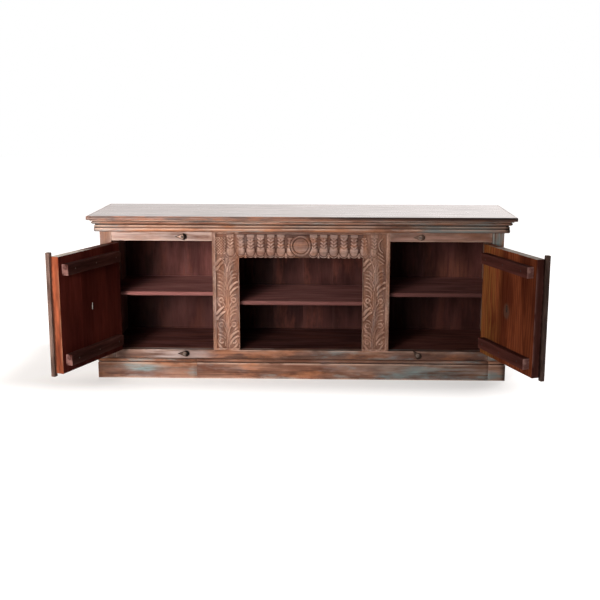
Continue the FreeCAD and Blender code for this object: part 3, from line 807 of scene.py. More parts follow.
for side, way in SIDES.items():
    planks = {"grain": 2, "axis": 1, "count": 3, "seed": 11, "each": SIDE_TONES}
    boards("side_planks_" + side, "side_boards_" + side, faded, "weathered_wood", **planks)
    boards("partition_wall_" + side, "partition_" + side, stained, "stained_wood", 2, 1, 2, seed=21)
    finish, tone, blue = STILES[side]
    # Painted shade on the stile's face towards the bay.
    stile = {"seed": 31, "board": tone, "paint": blue, "shaded_side": -way}
    boards("stile_board_" + side, "stile_" + side, finish, grain=2, **stile, **WORN)
    tone, pale = TOP_RAILS[side]
    rail = {"seed": 41, "board": tone, "paint": pale}
    boards("top_rail_board_" + side, "top_rail_" + side, faded, grain=0, **rail, **WORN)
boards("bottom_rail_board", "bottom_rail", patched, grain=0, seed=51, board=7.03, paint=rail_marks, **WORN)
print("face frame and sides made")

# %% [markdown]
# Inside, the lower half of the back boards is darkened with painted shade under the shelves, and the tones of
# the back boards carry painted light: lightest in the left bay, darkest in the middle one. The wood over the
# right shelf is warmer. The floor is laid in each bay by itself.

# %% Back, floor and shelves
BACK_COUNT = 12
# The back boards' tones carry painted light: lightest in the left bay, darkest in the middle one.
BACK_TONES_AND_LIGHT = (1.72, 2.75, 3.68, 4.6, 5.2, 6.12, 7.14, 8.2, 9.42, 10.5, 11.55, 12.5)
# How dark the lower half of each bay's back boards is: painted shade under the shelves.
BAY_SHADE = (0.7, 0.25, 0.5)
FLOOR_TONES = (0.8, 0.38, 0.99)
FLOOR_WARMTH = (0.0, 0.0, 0.25)
# The second number of each shelf darkens its front face: painted shade, most in the middle and right bays.
SHELVES = {"left": (0.74, -0.15), "centre": (0.68, -0.55), "right": (0.66, -0.7)}
SHELF_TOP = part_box("shelf_right")[1].z


def warm_patch(points):
    """The brighter, warmer wood over the right shelf."""
    return 0.75 * soft_spot(points, 0.67, 0.07, SHELF_TOP + 20 * MM, 60 * MM)


back = [{"board": tone, "grime_and_shade": BAY_SHADE[step // 4]} for step, tone in enumerate(BACK_TONES_AND_LIGHT)]
for board in back[-2:]:
    board["paint"] = warm_patch
boards("back_planks", "back_boards", stained, "stained_wood", 2, 0, BACK_COUNT, 61, cell=20 * MM, each=back)

gather = Gather()
low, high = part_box("floor_board")
middles = [sum(end.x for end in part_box("partition_" + side)) / 2 for side in SIDES]
walls = [low.x] + middles + [high.x]
for bay, (tone, warmth) in enumerate(zip(FLOOR_TONES, FLOOR_WARMTH)):
    bay_low, bay_high = (walls[bay], low.y, low.z), (walls[bay + 1], high.y, high.z)
    for step, (first, last) in enumerate(split(bay_low, bay_high, 1, 3)):
        add_board(gather, first, last, 0, seed=81 + step, board=3 * bay + step + tone, paint=warmth)
gather.make("floor_planks", stained, "cabinet", "stained_wood", "floor_board")
boards("plinth_back_board", "plinth_back", stained, "stained_wood", 0, seed=91)
for part, (tone, wear_and_shade) in SHELVES.items():
    shelf = {"radius": 2.2 * MM, "front_wear_and_shade": wear_and_shade, "rub": 0.4, "board": tone}
    boards("shelf_board_" + part, "shelf_" + part, shelf_wood, "shelf_wood", 0, 1, 2, 101, **shelf)
print("back, floor and", len(SHELVES), "shelves made")

# %% [markdown]
# Some nodes hold several loose sticks: the rails behind the back, the cleats under the shelves and the
# bearers in the plinth. Each stick is found by walking along the edges of the node's mesh.

# %% Hidden sticks
STICKS = {
    "back_rail_boards": "back_rails",
    "shelf_cleat_sticks": "shelf_cleats",
    "bearer_boards": "plinth_bearers",
}


def separate_boxes(node):
    """The box of each separate solid in a node."""
    solid = bmesh.new()
    solid.from_mesh(frame["nodes"][node].data)
    bmesh.ops.remove_doubles(solid, verts=solid.verts, dist=TINY)
    waiting = set(solid.verts)
    boxes = []
    while waiting:
        front = [waiting.pop()]
        found = []
        while front:
            vert = front.pop()
            found.append(vert.co.copy())
            for link in vert.link_edges:
                other = link.other_vert(vert)
                if other in waiting:
                    waiting.discard(other)
                    front.append(other)
        found = np.array(found)
        boxes.append((found.min(0), found.max(0)))
    solid.free()
    return sorted(boxes, key=lambda box: tuple(box[0]))


for name, node in STICKS.items():
    gather = Gather()
    for step, (low, high) in enumerate(separate_boxes(node)):
        add_board(gather, low, high, int(np.argmax(high - low)), seed=111 + step)
    gather.make(name, stained, "cabinet", "stained_wood", node)

# %% [markdown]
# ## Cornice, plinth and top
#
# The cornice under the top and the plinth at the floor are mouldings: one outline that runs round the front
# and both sides and meets in mitres. A curve with a bevel profile would give the shape, but its corners
# would not be true mitres. Here the outline's own distance from the body moves its ends, so two runs
# always meet on the diagonal. The outline's corners are softened first, and they carry the wear.

# %% Outlines
CORNER_CUT, OUTLINE_STEP = 1.2, 8.0


def bend(start, end, count=7):
    """Points on a quarter of an ellipse that leaves its start level and ends upright."""
    turn = np.linspace(0, math.pi / 2, count)
    width, height = end[0] - start[0], end[1] - start[1]
    return [(start[0] + width * math.sin(a), start[1] + height * (1 - math.cos(a))) for a in turn]


def softened(outline):
    """The closed outline with its corners cut small and its long sides divided, and how worn or hollow
    each point is."""
    points, wear_and_shade, hollow = [], [], []
    count = len(outline)
    for i in range(count):
        here = np.array(outline[i], float)
        back, on = here - np.array(outline[i - 1]), np.array(outline[(i + 1) % count]) - here
        back_length, on_length = np.linalg.norm(back), np.linalg.norm(on)
        turn = back[0] * on[1] - back[1] * on[0]
        sharp = abs(turn) > 0.5 * back_length * on_length
        ends = [here]
        if sharp:
            first = here - back / back_length * min(CORNER_CUT, 0.4 * back_length)
            last = here + on / on_length * min(CORNER_CUT, 0.4 * on_length)
            ends = [first, (first + last + 2 * here) / 4, last]
        steps = int(on_length / OUTLINE_STEP)
        between = [here + on * k / steps for k in range(1, steps)]
        points += ends + between
        wear_and_shade += [1.0 if sharp and turn > 0 else 0.0] * len(ends) + [0.0] * len(between)
        hollow += [1.0 if sharp and turn < 0 else 0.0] * len(ends) + [0.0] * len(between)
    return np.array(points), np.array(wear_and_shade), np.array(hollow)


print("corners are cut by", CORNER_CUT, "mm")

# %% [markdown]
# A run is made of many copies of the outline, one behind the other. They ripple by less than a millimetre.
# Where one board of the plinth ends and the next begins, three copies close together make a fine groove.

# %% Moulding maker
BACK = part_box("side_boards_left")[1].y
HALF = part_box("side_boards_right")[1].x
JOINT_HALF, JOINT_DEPTH, RIPPLE = 0.4, 0.9, 0.7


def moulding(name, node, side, outline, base, seed, tones, marks=None, cuts=()):
    """One run of a moulding: side 0 is the front, -1 the left end and 1 the right end. Sizes in the outline
    are mm. cuts are the places along the front where one board ends and the next begins, and tones are the
    boards' numbers. marks gives the paint of each point and how dark it is with grime and painted shade."""
    shape, wear_and_shade, hollow = softened(outline)
    steps = set(np.linspace(0, 1, 61 if side == 0 else 21))
    for cut in cuts:
        steps |= {0.5 + (cut + gap * MM) / (2 * HALF) for gap in (-JOINT_HALF, 0, JOINT_HALF)}
    count = len(shape)
    out = shape[:, 0] * MM
    z = base + shape[:, 1] * MM
    rings, places, numbers = [], [], []
    for step in sorted(steps):
        if side == 0:
            x, y = (HALF + out) * (2 * step - 1), FRONT - out
        else:
            x, y = side * (HALF + out), BACK + (FRONT - out - BACK) * step
        ring = np.stack([x, y, z], 1)
        along = (step - 0.5) * 2 * HALF
        joint = any(abs(along - cut) < 0.1 * MM for cut in cuts)
        ripple = wave(ring, seed, 0.19) * RIPPLE + joint * JOINT_DEPTH
        ripple = ripple * MM * np.clip(shape[:, 0] / 6, 0, 1)
        numbers.append(np.full(count, tones[sum(along > cut for cut in cuts)]))
        if side == 0:
            ring[:, 1] += ripple
        else:
            ring[:, 0] -= side * ripple
        rings.append(ring)
        places.append(np.stack([x if side == 0 else y, z + out, out], 1))
    points, place = np.concatenate(rings), np.concatenate(places)
    paint, grime_and_shade = marks(points) if marks else (None, 0)
    # Hollow corners are darkened: dirt and painted shade.
    edge, cavity = np.tile(wear_and_shade, len(rings)), np.maximum(np.tile(hollow, len(rings)), grime_and_shade)
    gather = Gather()
    gather.add(points, tube_faces(len(rings), count), place, edge=edge, cavity=cavity, paint=paint)
    gather.board = [np.concatenate(numbers)]
    return gather.make(name, weathered, "cabinet", "weathered_wood", node)


print("moulding maker ready")

# %% [markdown]
# The outlines are written in millimetres, out from the body and up from the foot. Paint is left in soft
# spots: blue-green near both ends of the plinth and at the right of the cornice. The left board of the
# plinth is darkened a little, and much more at its end: a painted shadow of the open left door.

# %% Mouldings
CORNICE_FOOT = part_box("cornice_front")[0].z
CORNICE_TONES = (3.49,)
PLINTH_CUTS, PLINTH_TONES, PLINTH_END_TONES = (-0.42, 0.755), (8.38, 5.36, 3.6), (4.4,)
cornice = [(0, 0), (10, 0)] + bend((10, 0), (18, 6))[1:] + [(18, 14), (16.6, 15.2), (16.6, 26)]
cornice += [(13.5, 27), (13.5, 31), (17, 31.5)] + bend((17, 31.5), (26.5, 40))[1:]
cornice += [(26.5, 41.5), (22, 42), (22, 45), (31, 45.5), (31, 50), (0, 50)]
plinth = [(0, 0), (22, 0), (22, 67), (18, 67), (18, 71)]
plinth += [(18 + 4 * math.sin(a), 76.5 - 5.5 * math.cos(a)) for a in np.linspace(0.2, math.pi - 0.2, 8)]
plinth += [(18, 82), (0, 82)]


def plinth_marks(points):
    paint = 0.85 * soft_spot(points, -0.64, 0.08, 0.045, 0.012)
    paint += 0.45 * soft_spot(points, 0.52, 0.2, 0.042, 0.03)
    paint += 0.5 * soft_spot(points, 0.77, 0.03, 0.02, 0.012)
    # Painted shadow of the open left door at the plinth's left end, and the left board a little darker all
    # over.
    grime_and_shade = np.maximum(0.7 * soft_spot(points, -0.87, 0.15), 0.18 * (points[:, 0] < PLINTH_CUTS[0]))
    return np.clip(paint, 0, 1), grime_and_shade


def cornice_marks(points):
    return 0.5 * soft_spot(points, 0.72, 0.07), np.zeros(len(points))


for name, side in (("front", 0), ("left", -1), ("right", 1)):
    marks = cornice_marks if side == 0 else None
    run = ("cornice_run_" + name, "cornice_" + name, side, cornice, CORNICE_FOOT, 201 + side)
    moulding(*run, CORNICE_TONES, marks)
    look = (PLINTH_TONES, plinth_marks, PLINTH_CUTS) if side == 0 else (PLINTH_END_TONES,)
    moulding("plinth_run_" + name, "plinth_" + name, side, plinth, 0.0, 211 + side, *look)
print("mouldings:", len(cornice), "and", len(plinth), "points in the outlines")

# %% [markdown]
# The top is three lacquered boards with a rounded nose. They are one slab with a fine groove at each joint,
# because the joints of such a top are glued and show only as lines. A finer groove, the quirk, runs under the
# nose and is darkened with dirt and painted shade. The right half of the nose is darkened with painted shade,
# most of all along its upper edge.

# %% Top
NOSE, TOP_CELL, TOP_WEAR, TOP_SINK = 3 * MM, 40 * MM, 5 * MM, 0.4 * MM
QUIRK_DROP, QUIRK_HALF, QUIRK_DEPTH = 4.4 * MM, 0.9 * MM, 1.0 * MM
GROOVE_DEPTH = 0.7 * MM
TOP_TONES = np.array([0.15, 0.62, 0.4])
low, high = (np.array(corner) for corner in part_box("top_boards"))
quirk = high[2] - QUIRK_DROP
points, faces = box_grid(low, high, NOSE, TOP_CELL, [quirk - QUIRK_HALF, quirk, quirk + QUIRK_HALF])
joints = np.linspace(low[1], high[1], len(TOP_TONES) + 1)[1:-1]
for joint in joints:
    rows_of_points = np.unique(points[:, 1])
    nearest = rows_of_points[np.argmin(abs(rows_of_points - joint))]
    points[abs(points[:, 1] - nearest) < TINY, 1] = joint
second_gap, core, out = rounded(points, low, high, NOSE)
moved = core + out * NOSE - out * (wave(points, 231, 0.4) * TOP_SINK)[:, None]
number = np.searchsorted(joints, points[:, 1] - TINY)
on_joint = np.min(abs(points[:, 1:2] - joints[None, :]), axis=1) < TINY
moved[:, 2] -= np.where(on_joint & (points[:, 2] > high[2] - TINY), GROOVE_DEPTH, 0)
on_quirk = abs(points[:, 2] - quirk) < TINY
moved[:, :2] -= out[:, :2] * np.where(on_quirk, QUIRK_DEPTH, 0)[:, None]
on_nose = points[:, 1] < low[1] + NOSE
upper_edge = on_nose & (points[:, 2] > quirk - QUIRK_DEPTH)
# Painted shade: the nose darkens towards the right, most of all along its upper edge.
grime_and_shade = 0.55 * on_nose * np.clip((points[:, 0] + 0.1) / 0.5, 0, 1)
grime_and_shade = np.maximum(grime_and_shade, upper_edge * np.clip((points[:, 0] + 0.15) / 0.3, 0, 1.17))
gather = Gather()
gather.add(moved, faces, points, np.exp(-second_gap / TOP_WEAR), np.maximum(on_quirk, grime_and_shade), board=0.0)
gather.board = [TOP_TONES[number]]
gather.make("top_planks", lacquered, "cabinet", "top_wood", "top_boards")
print("top:", len(points), "points")

# %% [markdown]
# ## The carvings
#
# Two pillars and the header between them are carved by hand: a stem with scrolls and slanted flutes climbs
# each pillar, and the header has a round medallion between rows of feathered tongues under small blocks.
# Sculpting them would not repeat well, and bumps in a material would not be part of the mesh. So each carving
# is a fine grid of heights, about a millimetre apart, and the carver's strokes are drawn into it one by one:
# every stroke is a line with a width and a rounded top. The heights then give the wear with a painted
# highlight on the crests, and the dirt with painted shade in the hollows.

# %% Strokes
CARVE = 7.0
DEPTH = 10.0


def bezier(points, count=14):
    """A smooth line through the first and last point, drawn towards the ones between."""
    t = np.linspace(0, 1, count)[:, None]
    level = [np.array(p, float)[None, :] + 0 * t for p in points]
    while len(level) > 1:
        level = [a + (b - a) * t for a, b in zip(level, level[1:])]
    return level[0]


class Relief:
    """A grid of heights in mm over a board's face, u across and v up, both in mm. wear is how much hands
    have rubbed it. grime_and_shade is how much darker it is besides its hollows, with dirt and painted shade."""

    def __init__(self, u, v, ground):
        self.u, self.v = np.meshgrid(u, v, indexing="ij")
        self.ground = ground
        self.height = np.full(self.u.shape, float(ground))
        self.wear = np.ones(self.u.shape)
        self.grime_and_shade = np.zeros(self.u.shape)

    def raise_to(self, values):
        self.height = np.maximum(self.height, values)

    def lower_to(self, mask, values):
        self.height = np.where(mask, np.minimum(self.height, values), self.height)

    def stroke(self, points, start, end, height, moat=1.5):
        """A rounded ridge along a line, with a narrow moat round it. start and end are its half widths."""
        points = np.array(points, float)
        steps = len(points) - 1
        nearest = np.full(self.u.shape, 9.0)
        for i in range(steps):
            a, b = points[i], points[i + 1]
            reach = 2 * max(start, end) + 2
            near = (self.u > min(a[0], b[0]) - reach) & (self.u < max(a[0], b[0]) + reach)
            near &= (self.v > min(a[1], b[1]) - reach) & (self.v < max(a[1], b[1]) + reach)
            if not near.any():
                continue
            u, v = self.u[near] - a[0], self.v[near] - a[1]
            along = b - a
            t = np.clip((u * along[0] + v * along[1]) / max(along @ along, 1e-9), 0, 1)
            gap = np.hypot(u - t * along[0], v - t * along[1])
            half = start + (end - start) * (i + t) / steps
            nearest[near] = np.minimum(nearest[near], gap / half)
        self.lay(nearest, height, 1 + moat / max(start, end))

    def lay(self, reach, height, moat):
        """Sets a rounded form on the ground. reach is 0 on its ridge, 1 on its rim and moat at the moat's."""
        self.lower_to(reach < moat, self.ground)
        top = np.sqrt(np.clip(1 - reach**2, 0, 1))
        self.raise_to(self.ground + (height - self.ground) * top**0.7)

    def ring(self, middle, inner, outer, height):
        gap = np.hypot(self.u - middle[0], self.v - middle[1])
        half = (outer - inner) / 2
        self.lower_to(gap < outer + 1.5, self.ground)
        self.lay(abs(gap - (inner + outer) / 2) / half, height, 1.0)


print("strokes ready: up to", CARVE, "mm high in the drawing and", DEPTH, "mm in the wood")

# %% [markdown]
# A drawing becomes a board in three steps: chisel marks roughen it, the difference between it and blurred
# copies tells hollows from ridges, and the grid gets a rim and a back.

# %% Carved boards


def blurred(values, width):
    weights = np.exp(-(np.arange(-2 * width, 2 * width + 1) ** 2) / (2.0 * width * width))
    weights /= weights.sum()
    for axis in (0, 1):
        margin = [(0, 0), (0, 0)]
        margin[axis] = (2 * width, 2 * width)
        padded = np.pad(values, margin, mode="edge")
        values = np.apply_along_axis(lambda line: np.convolve(line, weights, "valid"), axis, padded)
    return values


def carve(name, node, draw, along, seed, ground, material, board):
    """Makes a carved board. along is the grain: 0 for a level board and 2 for an upright one."""
    low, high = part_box(node)
    u = np.linspace(low.x, high.x, int((high.x - low.x) / MM) + 1)
    v = np.linspace(low.z, high.z, int((high.z - low.z) / MM) + 1)
    relief = Relief(u / MM, v / MM, ground)
    draw(relief)
    marks = np.stack([relief.u.ravel(), relief.v.ravel(), 0 * relief.u.ravel()], 1)
    chisel = (wave(marks, seed, 9.0) - 0.5 + wave(marks, seed + 1, 21.0) - 0.5).reshape(relief.u.shape)
    height = np.clip(blurred(relief.height, 1) + 0.9 * chisel, 0, CARVE - 0.05)
    hollow = 0.5 * (blurred(height, 3) + blurred(height, 8)) - height
    # Dark in the hollows and on the deeper ground: dirt and painted shade. Pale on the crests: wear and
    # painted highlight.
    cavity = np.clip(0.32 * hollow, 0, 0.8) + 0.15 * (1 - height / CARVE) + relief.grime_and_shade
    edge = np.clip(-0.5 * hollow, 0, 1) * relief.wear

    rows, columns = height.shape
    total = rows * columns
    index = np.arange(total).reshape(rows, columns)
    sunk = low.y + (1 - height / CARVE) * DEPTH * MM
    front = np.stack([u[:, None] + 0 * v, sunk, 0 * u[:, None] + v], -1).reshape(-1, 3)
    faces = grid_faces(rows, columns).tolist()
    rim = np.concatenate([index[:-1, 0], index[-1, :-1], index[:0:-1, -1], index[0, :0:-1]])
    behind = front[rim].copy()
    behind[:, 1] = high.y
    for i in range(len(rim)):
        j = (i + 1) % len(rim)
        faces.append((rim[i], total + i, total + j, rim[j]))
        faces.append((total + i, total + len(rim), total + j))
    centre = (low + high) / 2
    points = np.concatenate([front, behind, [[centre.x, high.y, centre.z]]])
    place = points[:, [0, 2, 1] if along == 0 else [2, 0, 1]]
    blank = np.zeros(len(rim) + 1)
    edge, cavity = (np.concatenate([values.ravel(), blank]) for values in (edge, cavity))
    gather = Gather()
    gather.add(points, faces, place, edge=edge, cavity=cavity, board=board)
    return gather.make(name, material, "cabinet", "weathered_wood", node)


print("carving tools ready")

# %% [markdown]
# The header comes first. A tongue is a drop with a broad rounded foot and a thin rim under it. Scales lap
# over its upper part and meet on a middle vein. The row of tongues runs on over the pillars, so a tongue's
# luck comes from its own place, and both boards draw the same one where it lies across their joint.

# %% Header
HEADER_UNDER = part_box("carved_header")[0].z / MM
TONGUE_STEP, TONGUE_HEIGHT = 41.3, 84
TONGUES = [-(40 + TONGUE_STEP * k) for k in range(7)] + [52 + TONGUE_STEP * k for k in range(7)]
TONGUE_HALF, FOOT_MIDDLE, NECK_FROM, SCALES_FROM, SCALE = 17.8, 26, 30, 34, 14.0
BEAD_FOOT, BEAD_TOP, BAND_FOOT = 97, 101.5, 103.5
MEDALLION = (0, HEADER_UNDER + 50)
DISC, RING_INNER, RING_OUTER, MEDALLION_EDGE = 31, 33, 43, 46


def tongue(relief, middle, foot):
    """One tongue. All its sizes are in mm."""
    own = np.random.default_rng(int(10 * abs(middle)))
    across, rise = abs(relief.u - middle), relief.v - foot
    scale = np.mod((rise - 0.7 * across) / SCALE + own.random(), 1.0)
    scaly = np.clip((rise - SCALES_FROM) / 10, 0, 1)
    narrow = 2.8 * np.clip((rise - NECK_FROM) / 24, 0, 1)
    half = TONGUE_HALF + own.uniform(-0.6, 0.6) - narrow - 3.2 * scale * scaly
    reach = np.hypot(across, 0.85 * np.clip(FOOT_MIDDLE - rise, 0, None)) / half
    dome = np.sqrt(np.clip(1 - reach**2, 0, 1))
    vein = 0.9 * np.exp(-((across / 1.5) ** 2))
    crown = 1.2 + 5.6 * dome - 3.3 * scale * scaly - vein * scaly
    relief.raise_to(np.where((reach < 1) & (rise < TONGUE_HEIGHT), np.clip(crown, 0, CARVE), 0))
    relief.raise_to(6.2 * np.exp(-(((reach - 1.16) / 0.07) ** 2)) * (rise < 22))


def dart(relief, middle, foot):
    """The small pointed leaf between the feet of two tongues."""
    across, rise = abs(relief.u - middle), relief.v - foot
    half = 7.0 * np.clip((18 - rise) / 16, 0, 1)
    relief.raise_to(5.2 * np.clip(1 - across / np.maximum(half, 0.1), 0, 1) ** 0.6)


def draw_header(relief):
    rise = relief.v - HEADER_UNDER
    for middle in TONGUES:
        tongue(relief, middle, HEADER_UNDER)
        dart(relief, middle + math.copysign(TONGUE_STEP / 2 - 0.05, middle), HEADER_UNDER)
    relief.raise_to(np.where((rise > BEAD_FOOT) & (rise < BEAD_TOP), 6.0, 0))
    relief.raise_to(np.where(rise > BAND_FOOT, 6.9, 0))
    gap = np.hypot(relief.u - MEDALLION[0], relief.v - MEDALLION[1])
    relief.lower_to(gap < MEDALLION_EDGE - 1, relief.ground)
    relief.ring(MEDALLION, RING_INNER, RING_OUTER, 5.6)
    relief.raise_to(np.where(gap < DISC, 2.8 + 2.0 * np.clip(1 - (gap / DISC) ** 2, 0, 1) ** 0.6, 0))
    relief.wear = np.where((gap < MEDALLION_EDGE) | (rise > BEAD_FOOT - 1), 0.25, 1.0)
    # The ground between the tongues is darkened, and the medallion a little: dirt and painted shade.
    between = np.clip(1.7 - relief.height, 0, 1) * (rise < BEAD_FOOT)
    relief.grime_and_shade = np.where(gap < MEDALLION_EDGE, 0.18, 0.5 * between)


carve("header_carving", "carved_header", draw_header, 0, 301, 0.5, header_wood, 0.5)
print("header carved with", len(TONGUES), "tongues")

# %% [markdown]
# A pillar has a plain strip on its outer side. On the rest, a stem climbs in the middle. Pairs of scrolls
# with round eyes roll out of it, and between them lie pairs of slanted flutes and curled leaves, which
# change sides from one level to the next. Near the top the pillar carries on the header's row.

# %% Pillar forms


def scroll(relief, stem, side, height):
    eye = (stem + side * 26, height)
    arm = [(stem + side * 37, height + 4), (stem + side * 44, height - 18), (stem + side * 27, height - 28)]
    relief.stroke(bezier(arm + [(stem + side * 6, height - 48)]), 7.5, 4.0, 5.6, moat=0.9)
    neck = [(stem + side * 14, height), (stem + side * 9, height + 20), (stem + side * 33, height + 22)]
    relief.stroke(bezier(neck), 6.0, 3.0, 5.2, moat=0.9)
    relief.ring(eye, 3.6, 13.0, 6.6)
    relief.raise_to(np.where(np.hypot(relief.u - eye[0], relief.v - eye[1]) < 2.6, 5.2, 0))


def flutes(relief, stem, side, height):
    middle = stem + side * 25
    for lift in (height - 13, height + 9):
        line = [(middle - 18, lift - 15), (middle - 5, lift + 8), (middle + 17, lift + 17)]
        relief.stroke(bezier(line), 7.6, 5.2, 7.4, moat=1.6)


def curled_leaf(relief, stem, side, height):
    for lift, reach in ((height + 17, 34), (height + 2, 39), (height - 13, 34)):
        line = [(stem + side * 7, lift - 22), (stem + side * 11, lift + 7), (stem + side * reach, lift + 9)]
        relief.stroke(bezier(line), 6.6, 3.4, 5.4, moat=0.9)


def calyx(relief, stem, height):
    """Two leaves that part from the stem like a V."""
    for side in (-1, 1):
        line = [(stem, height - 30), (stem + side * 3, height - 4), (stem + side * 19, height + 22)]
        relief.stroke(bezier(line), 5.0, 2.6, 5.6, moat=0.8)


print("pillar forms ready")

# %% [markdown]
# The heights below are the places of the forms over the floor in mm, read from the photograph. The two
# pillars have the same climbing forms.

# %% Climbing forms
EYES = (155, 226, 330)
CALYXES = (205, 300, 405, 480)
LEAF_PAIR = 428
FLUTES = {-1: (486, 278), 1: (380, 172)}


def climbing_forms(relief, stem, foot):
    for height in EYES:
        for way in (-1, 1):
            scroll(relief, stem, way, height)
    for way in (-1, 1):
        curled_leaf(relief, stem, way, LEAF_PAIR)
    for way, heights in FLUTES.items():
        for height in heights:
            curled_leaf(relief, stem, -way, height)
            flutes(relief, stem, way, height)
    line = [(stem, foot), (stem + 2, 300), (stem, HEADER_UNDER + 4)]
    relief.stroke(bezier(line, 30), 8.5, 7.0, 5.0, moat=0.8)
    relief.lower_to((abs(relief.u - stem - 1) < 1.3) & (relief.v < HEADER_UNDER), 3.4)
    for height in CALYXES:
        calyx(relief, stem, height)


print("a stem carries", 2 * len(EYES), "scrolls and", len(CALYXES), "pairs of leaves")

# %% [markdown]
# The heads of the pillars differ: the left one ends in a lattice and the right one in a curl over three bars.
# Over both lies a small block like the header's dentils.

# %% Pillars
PLAIN, THIN, FOOT = 15, 3, 8
BLOCK_HALF, BLOCK_TOP, HEAD_FOOT = 15.5, 96, 99
BLOCK_GROOVES, HEAD_GROOVE, GROOVE_FLOOR = (86, 91.5), 102.5, 3.5
CURL = [(331, 584), (316, 578), (312, 552), (322, 536), (334, 530)]
CURL_BARS = (528, 514, 500)
PILLAR_TONGUES = (240, 310)


def pillar_head(relief, side, in_field, rise):
    relief.lower_to((rise > 0) & (rise < HEAD_FOOT), np.clip(2.4 - 0.076 * rise, 0.5, 2.4))
    for middle in TONGUES:
        if PILLAR_TONGUES[0] < side * middle < PILLAR_TONGUES[1]:
            tongue(relief, middle, HEADER_UNDER)
    last = TONGUES[6] if side < 0 else TONGUES[-1]
    if side < 0:
        lattice = np.maximum(np.cos((relief.u + rise) * 0.55), np.cos((relief.u - rise) * 0.55))
        outer = side * (relief.u - last) > 19
        leafy = outer & in_field & (rise > 14) & (rise < TONGUE_HEIGHT)
        relief.raise_to(np.where(leafy, 3.2 + 2.4 * lattice, 0))
    else:
        relief.stroke(bezier(CURL), 3.8, 2.4, 6.6)
        for height in CURL_BARS:
            relief.stroke([(316, height), (338, height - 16)], 4.2, 3.2, 6.4)
    block = (abs(relief.u - last) < BLOCK_HALF) & (rise > TONGUE_HEIGHT) & (rise < BLOCK_TOP)
    relief.raise_to(np.where(block, 6.2, 0))
    for lift in BLOCK_GROOVES:
        relief.lower_to(block & (abs(rise - lift) < 1.1), GROOVE_FLOOR)
    relief.raise_to(np.where(rise > HEAD_FOOT, 6.8, 0))
    relief.lower_to(abs(rise - HEAD_GROOVE) < 1.2, GROOVE_FLOOR)


def pillar_drawing(side):
    """side is -1 for the left pillar and 1 for the right one."""

    def draw(relief):
        low, high = relief.u.min(), relief.u.max()
        field = (low + PLAIN, high - THIN) if side < 0 else (low + THIN, high - PLAIN)
        stem = (field[0] + field[1]) / 2
        foot = relief.v.min() + FOOT
        in_field = (relief.u > field[0]) & (relief.u < field[1])
        rise = relief.v - HEADER_UNDER
        climbing_forms(relief, stem, foot)
        pillar_head(relief, side, in_field, rise)
        inner = side * (relief.u - stem) < 0
        plain = ~in_field & ~(inner & (rise > 0))
        relief.raise_to(np.where(plain | (relief.v < foot), 6.4, 0))
        # The low ground is darkened a little: dirt and painted shade.
        relief.grime_and_shade = 0.12 * np.clip(3.4 - relief.height, 0, 1)

    return draw


for name, side in SIDES.items():
    look = (320 + side, 2.4, carved, 3.27 - 0.06 * side)
    carve("pillar_carving_" + name, "carved_pillar_" + name, pillar_drawing(side), 2, *look)

# %% [markdown]
# ## The doors
#
# Each door is three upright boards held by two battens on the inside, with a bar on its free edge and four
# flat strips outside. The frame holds the doors open, as they stand in the photograph. It is easier to make
# a door closed, where its boards lie along the axes, and then to swing it out on its hinge. The hinge's
# place, axis and travel are in the record, so the swing is the frame's own.

# %% Door swing
swing = {}
for joint in frame["joints"]:
    if joint["name"].startswith("door_"):
        pin = Matrix.Translation(joint["pos_m"])
        angle = -math.radians(joint["range_deg"][0])
        opened = Matrix.Rotation(angle, 4, Vector(joint["axis"]))
        swing[joint["name"].split("_")[1]] = pin @ opened @ pin.inverted()


def closed_box(node, turn):
    back = turn.inverted()
    points = np.array([back @ v.co for v in frame["nodes"][node].data.vertices])
    return points.min(0), points.max(0)


print("doors swung by", [round(math.degrees(m.to_euler().z), 1) for m in swing.values()])

# %% [markdown]
# The boards come first. On the left door, old red paint is left on the outer face. The inner face of the
# right door turns golden towards its hinge and has a grey mark in the middle. A noise could draw them, but
# not in their places, so the mesh says where they are. The free edge is a piece of its own, a thin lip of
# raw wood that is dark where the bar was fitted.

# %% Door boards
LIP, LIP_LAP, HINGE_GAP = 3 * MM, 0.3 * MM, 1.9 * MM
PATCH = (0.572, 0.021, 0.336, 0.031)
GOLD_FROM, GOLD_FADE = 0.60, 0.12
TOP_HIGHLIGHT_REACH, TOP_HIGHLIGHT_FADE, TOP_HIGHLIGHT_BAND = {"left": 0.65, "right": 0.95}, 0.4, 0.7 * MM


def door_lip(side, low, high):
    gather = Gather()
    add_board(gather, low, high, 2, seed=410, radius=1.2 * MM, cell=3 * MM, board=0.5)
    points = gather.points[-1]
    ragged = low[1] + 4 * MM + 6 * MM * wave(points, 411, 0.05)
    gather.cavity[-1] = np.clip((ragged - points[:, 1]) / (2 * MM), 0, 1)
    finish = edge_wood if side == "left" else batten_wood
    gather.make("door_" + side + "_lip", finish, "door_" + side, "door_wood", turn=swing[side])


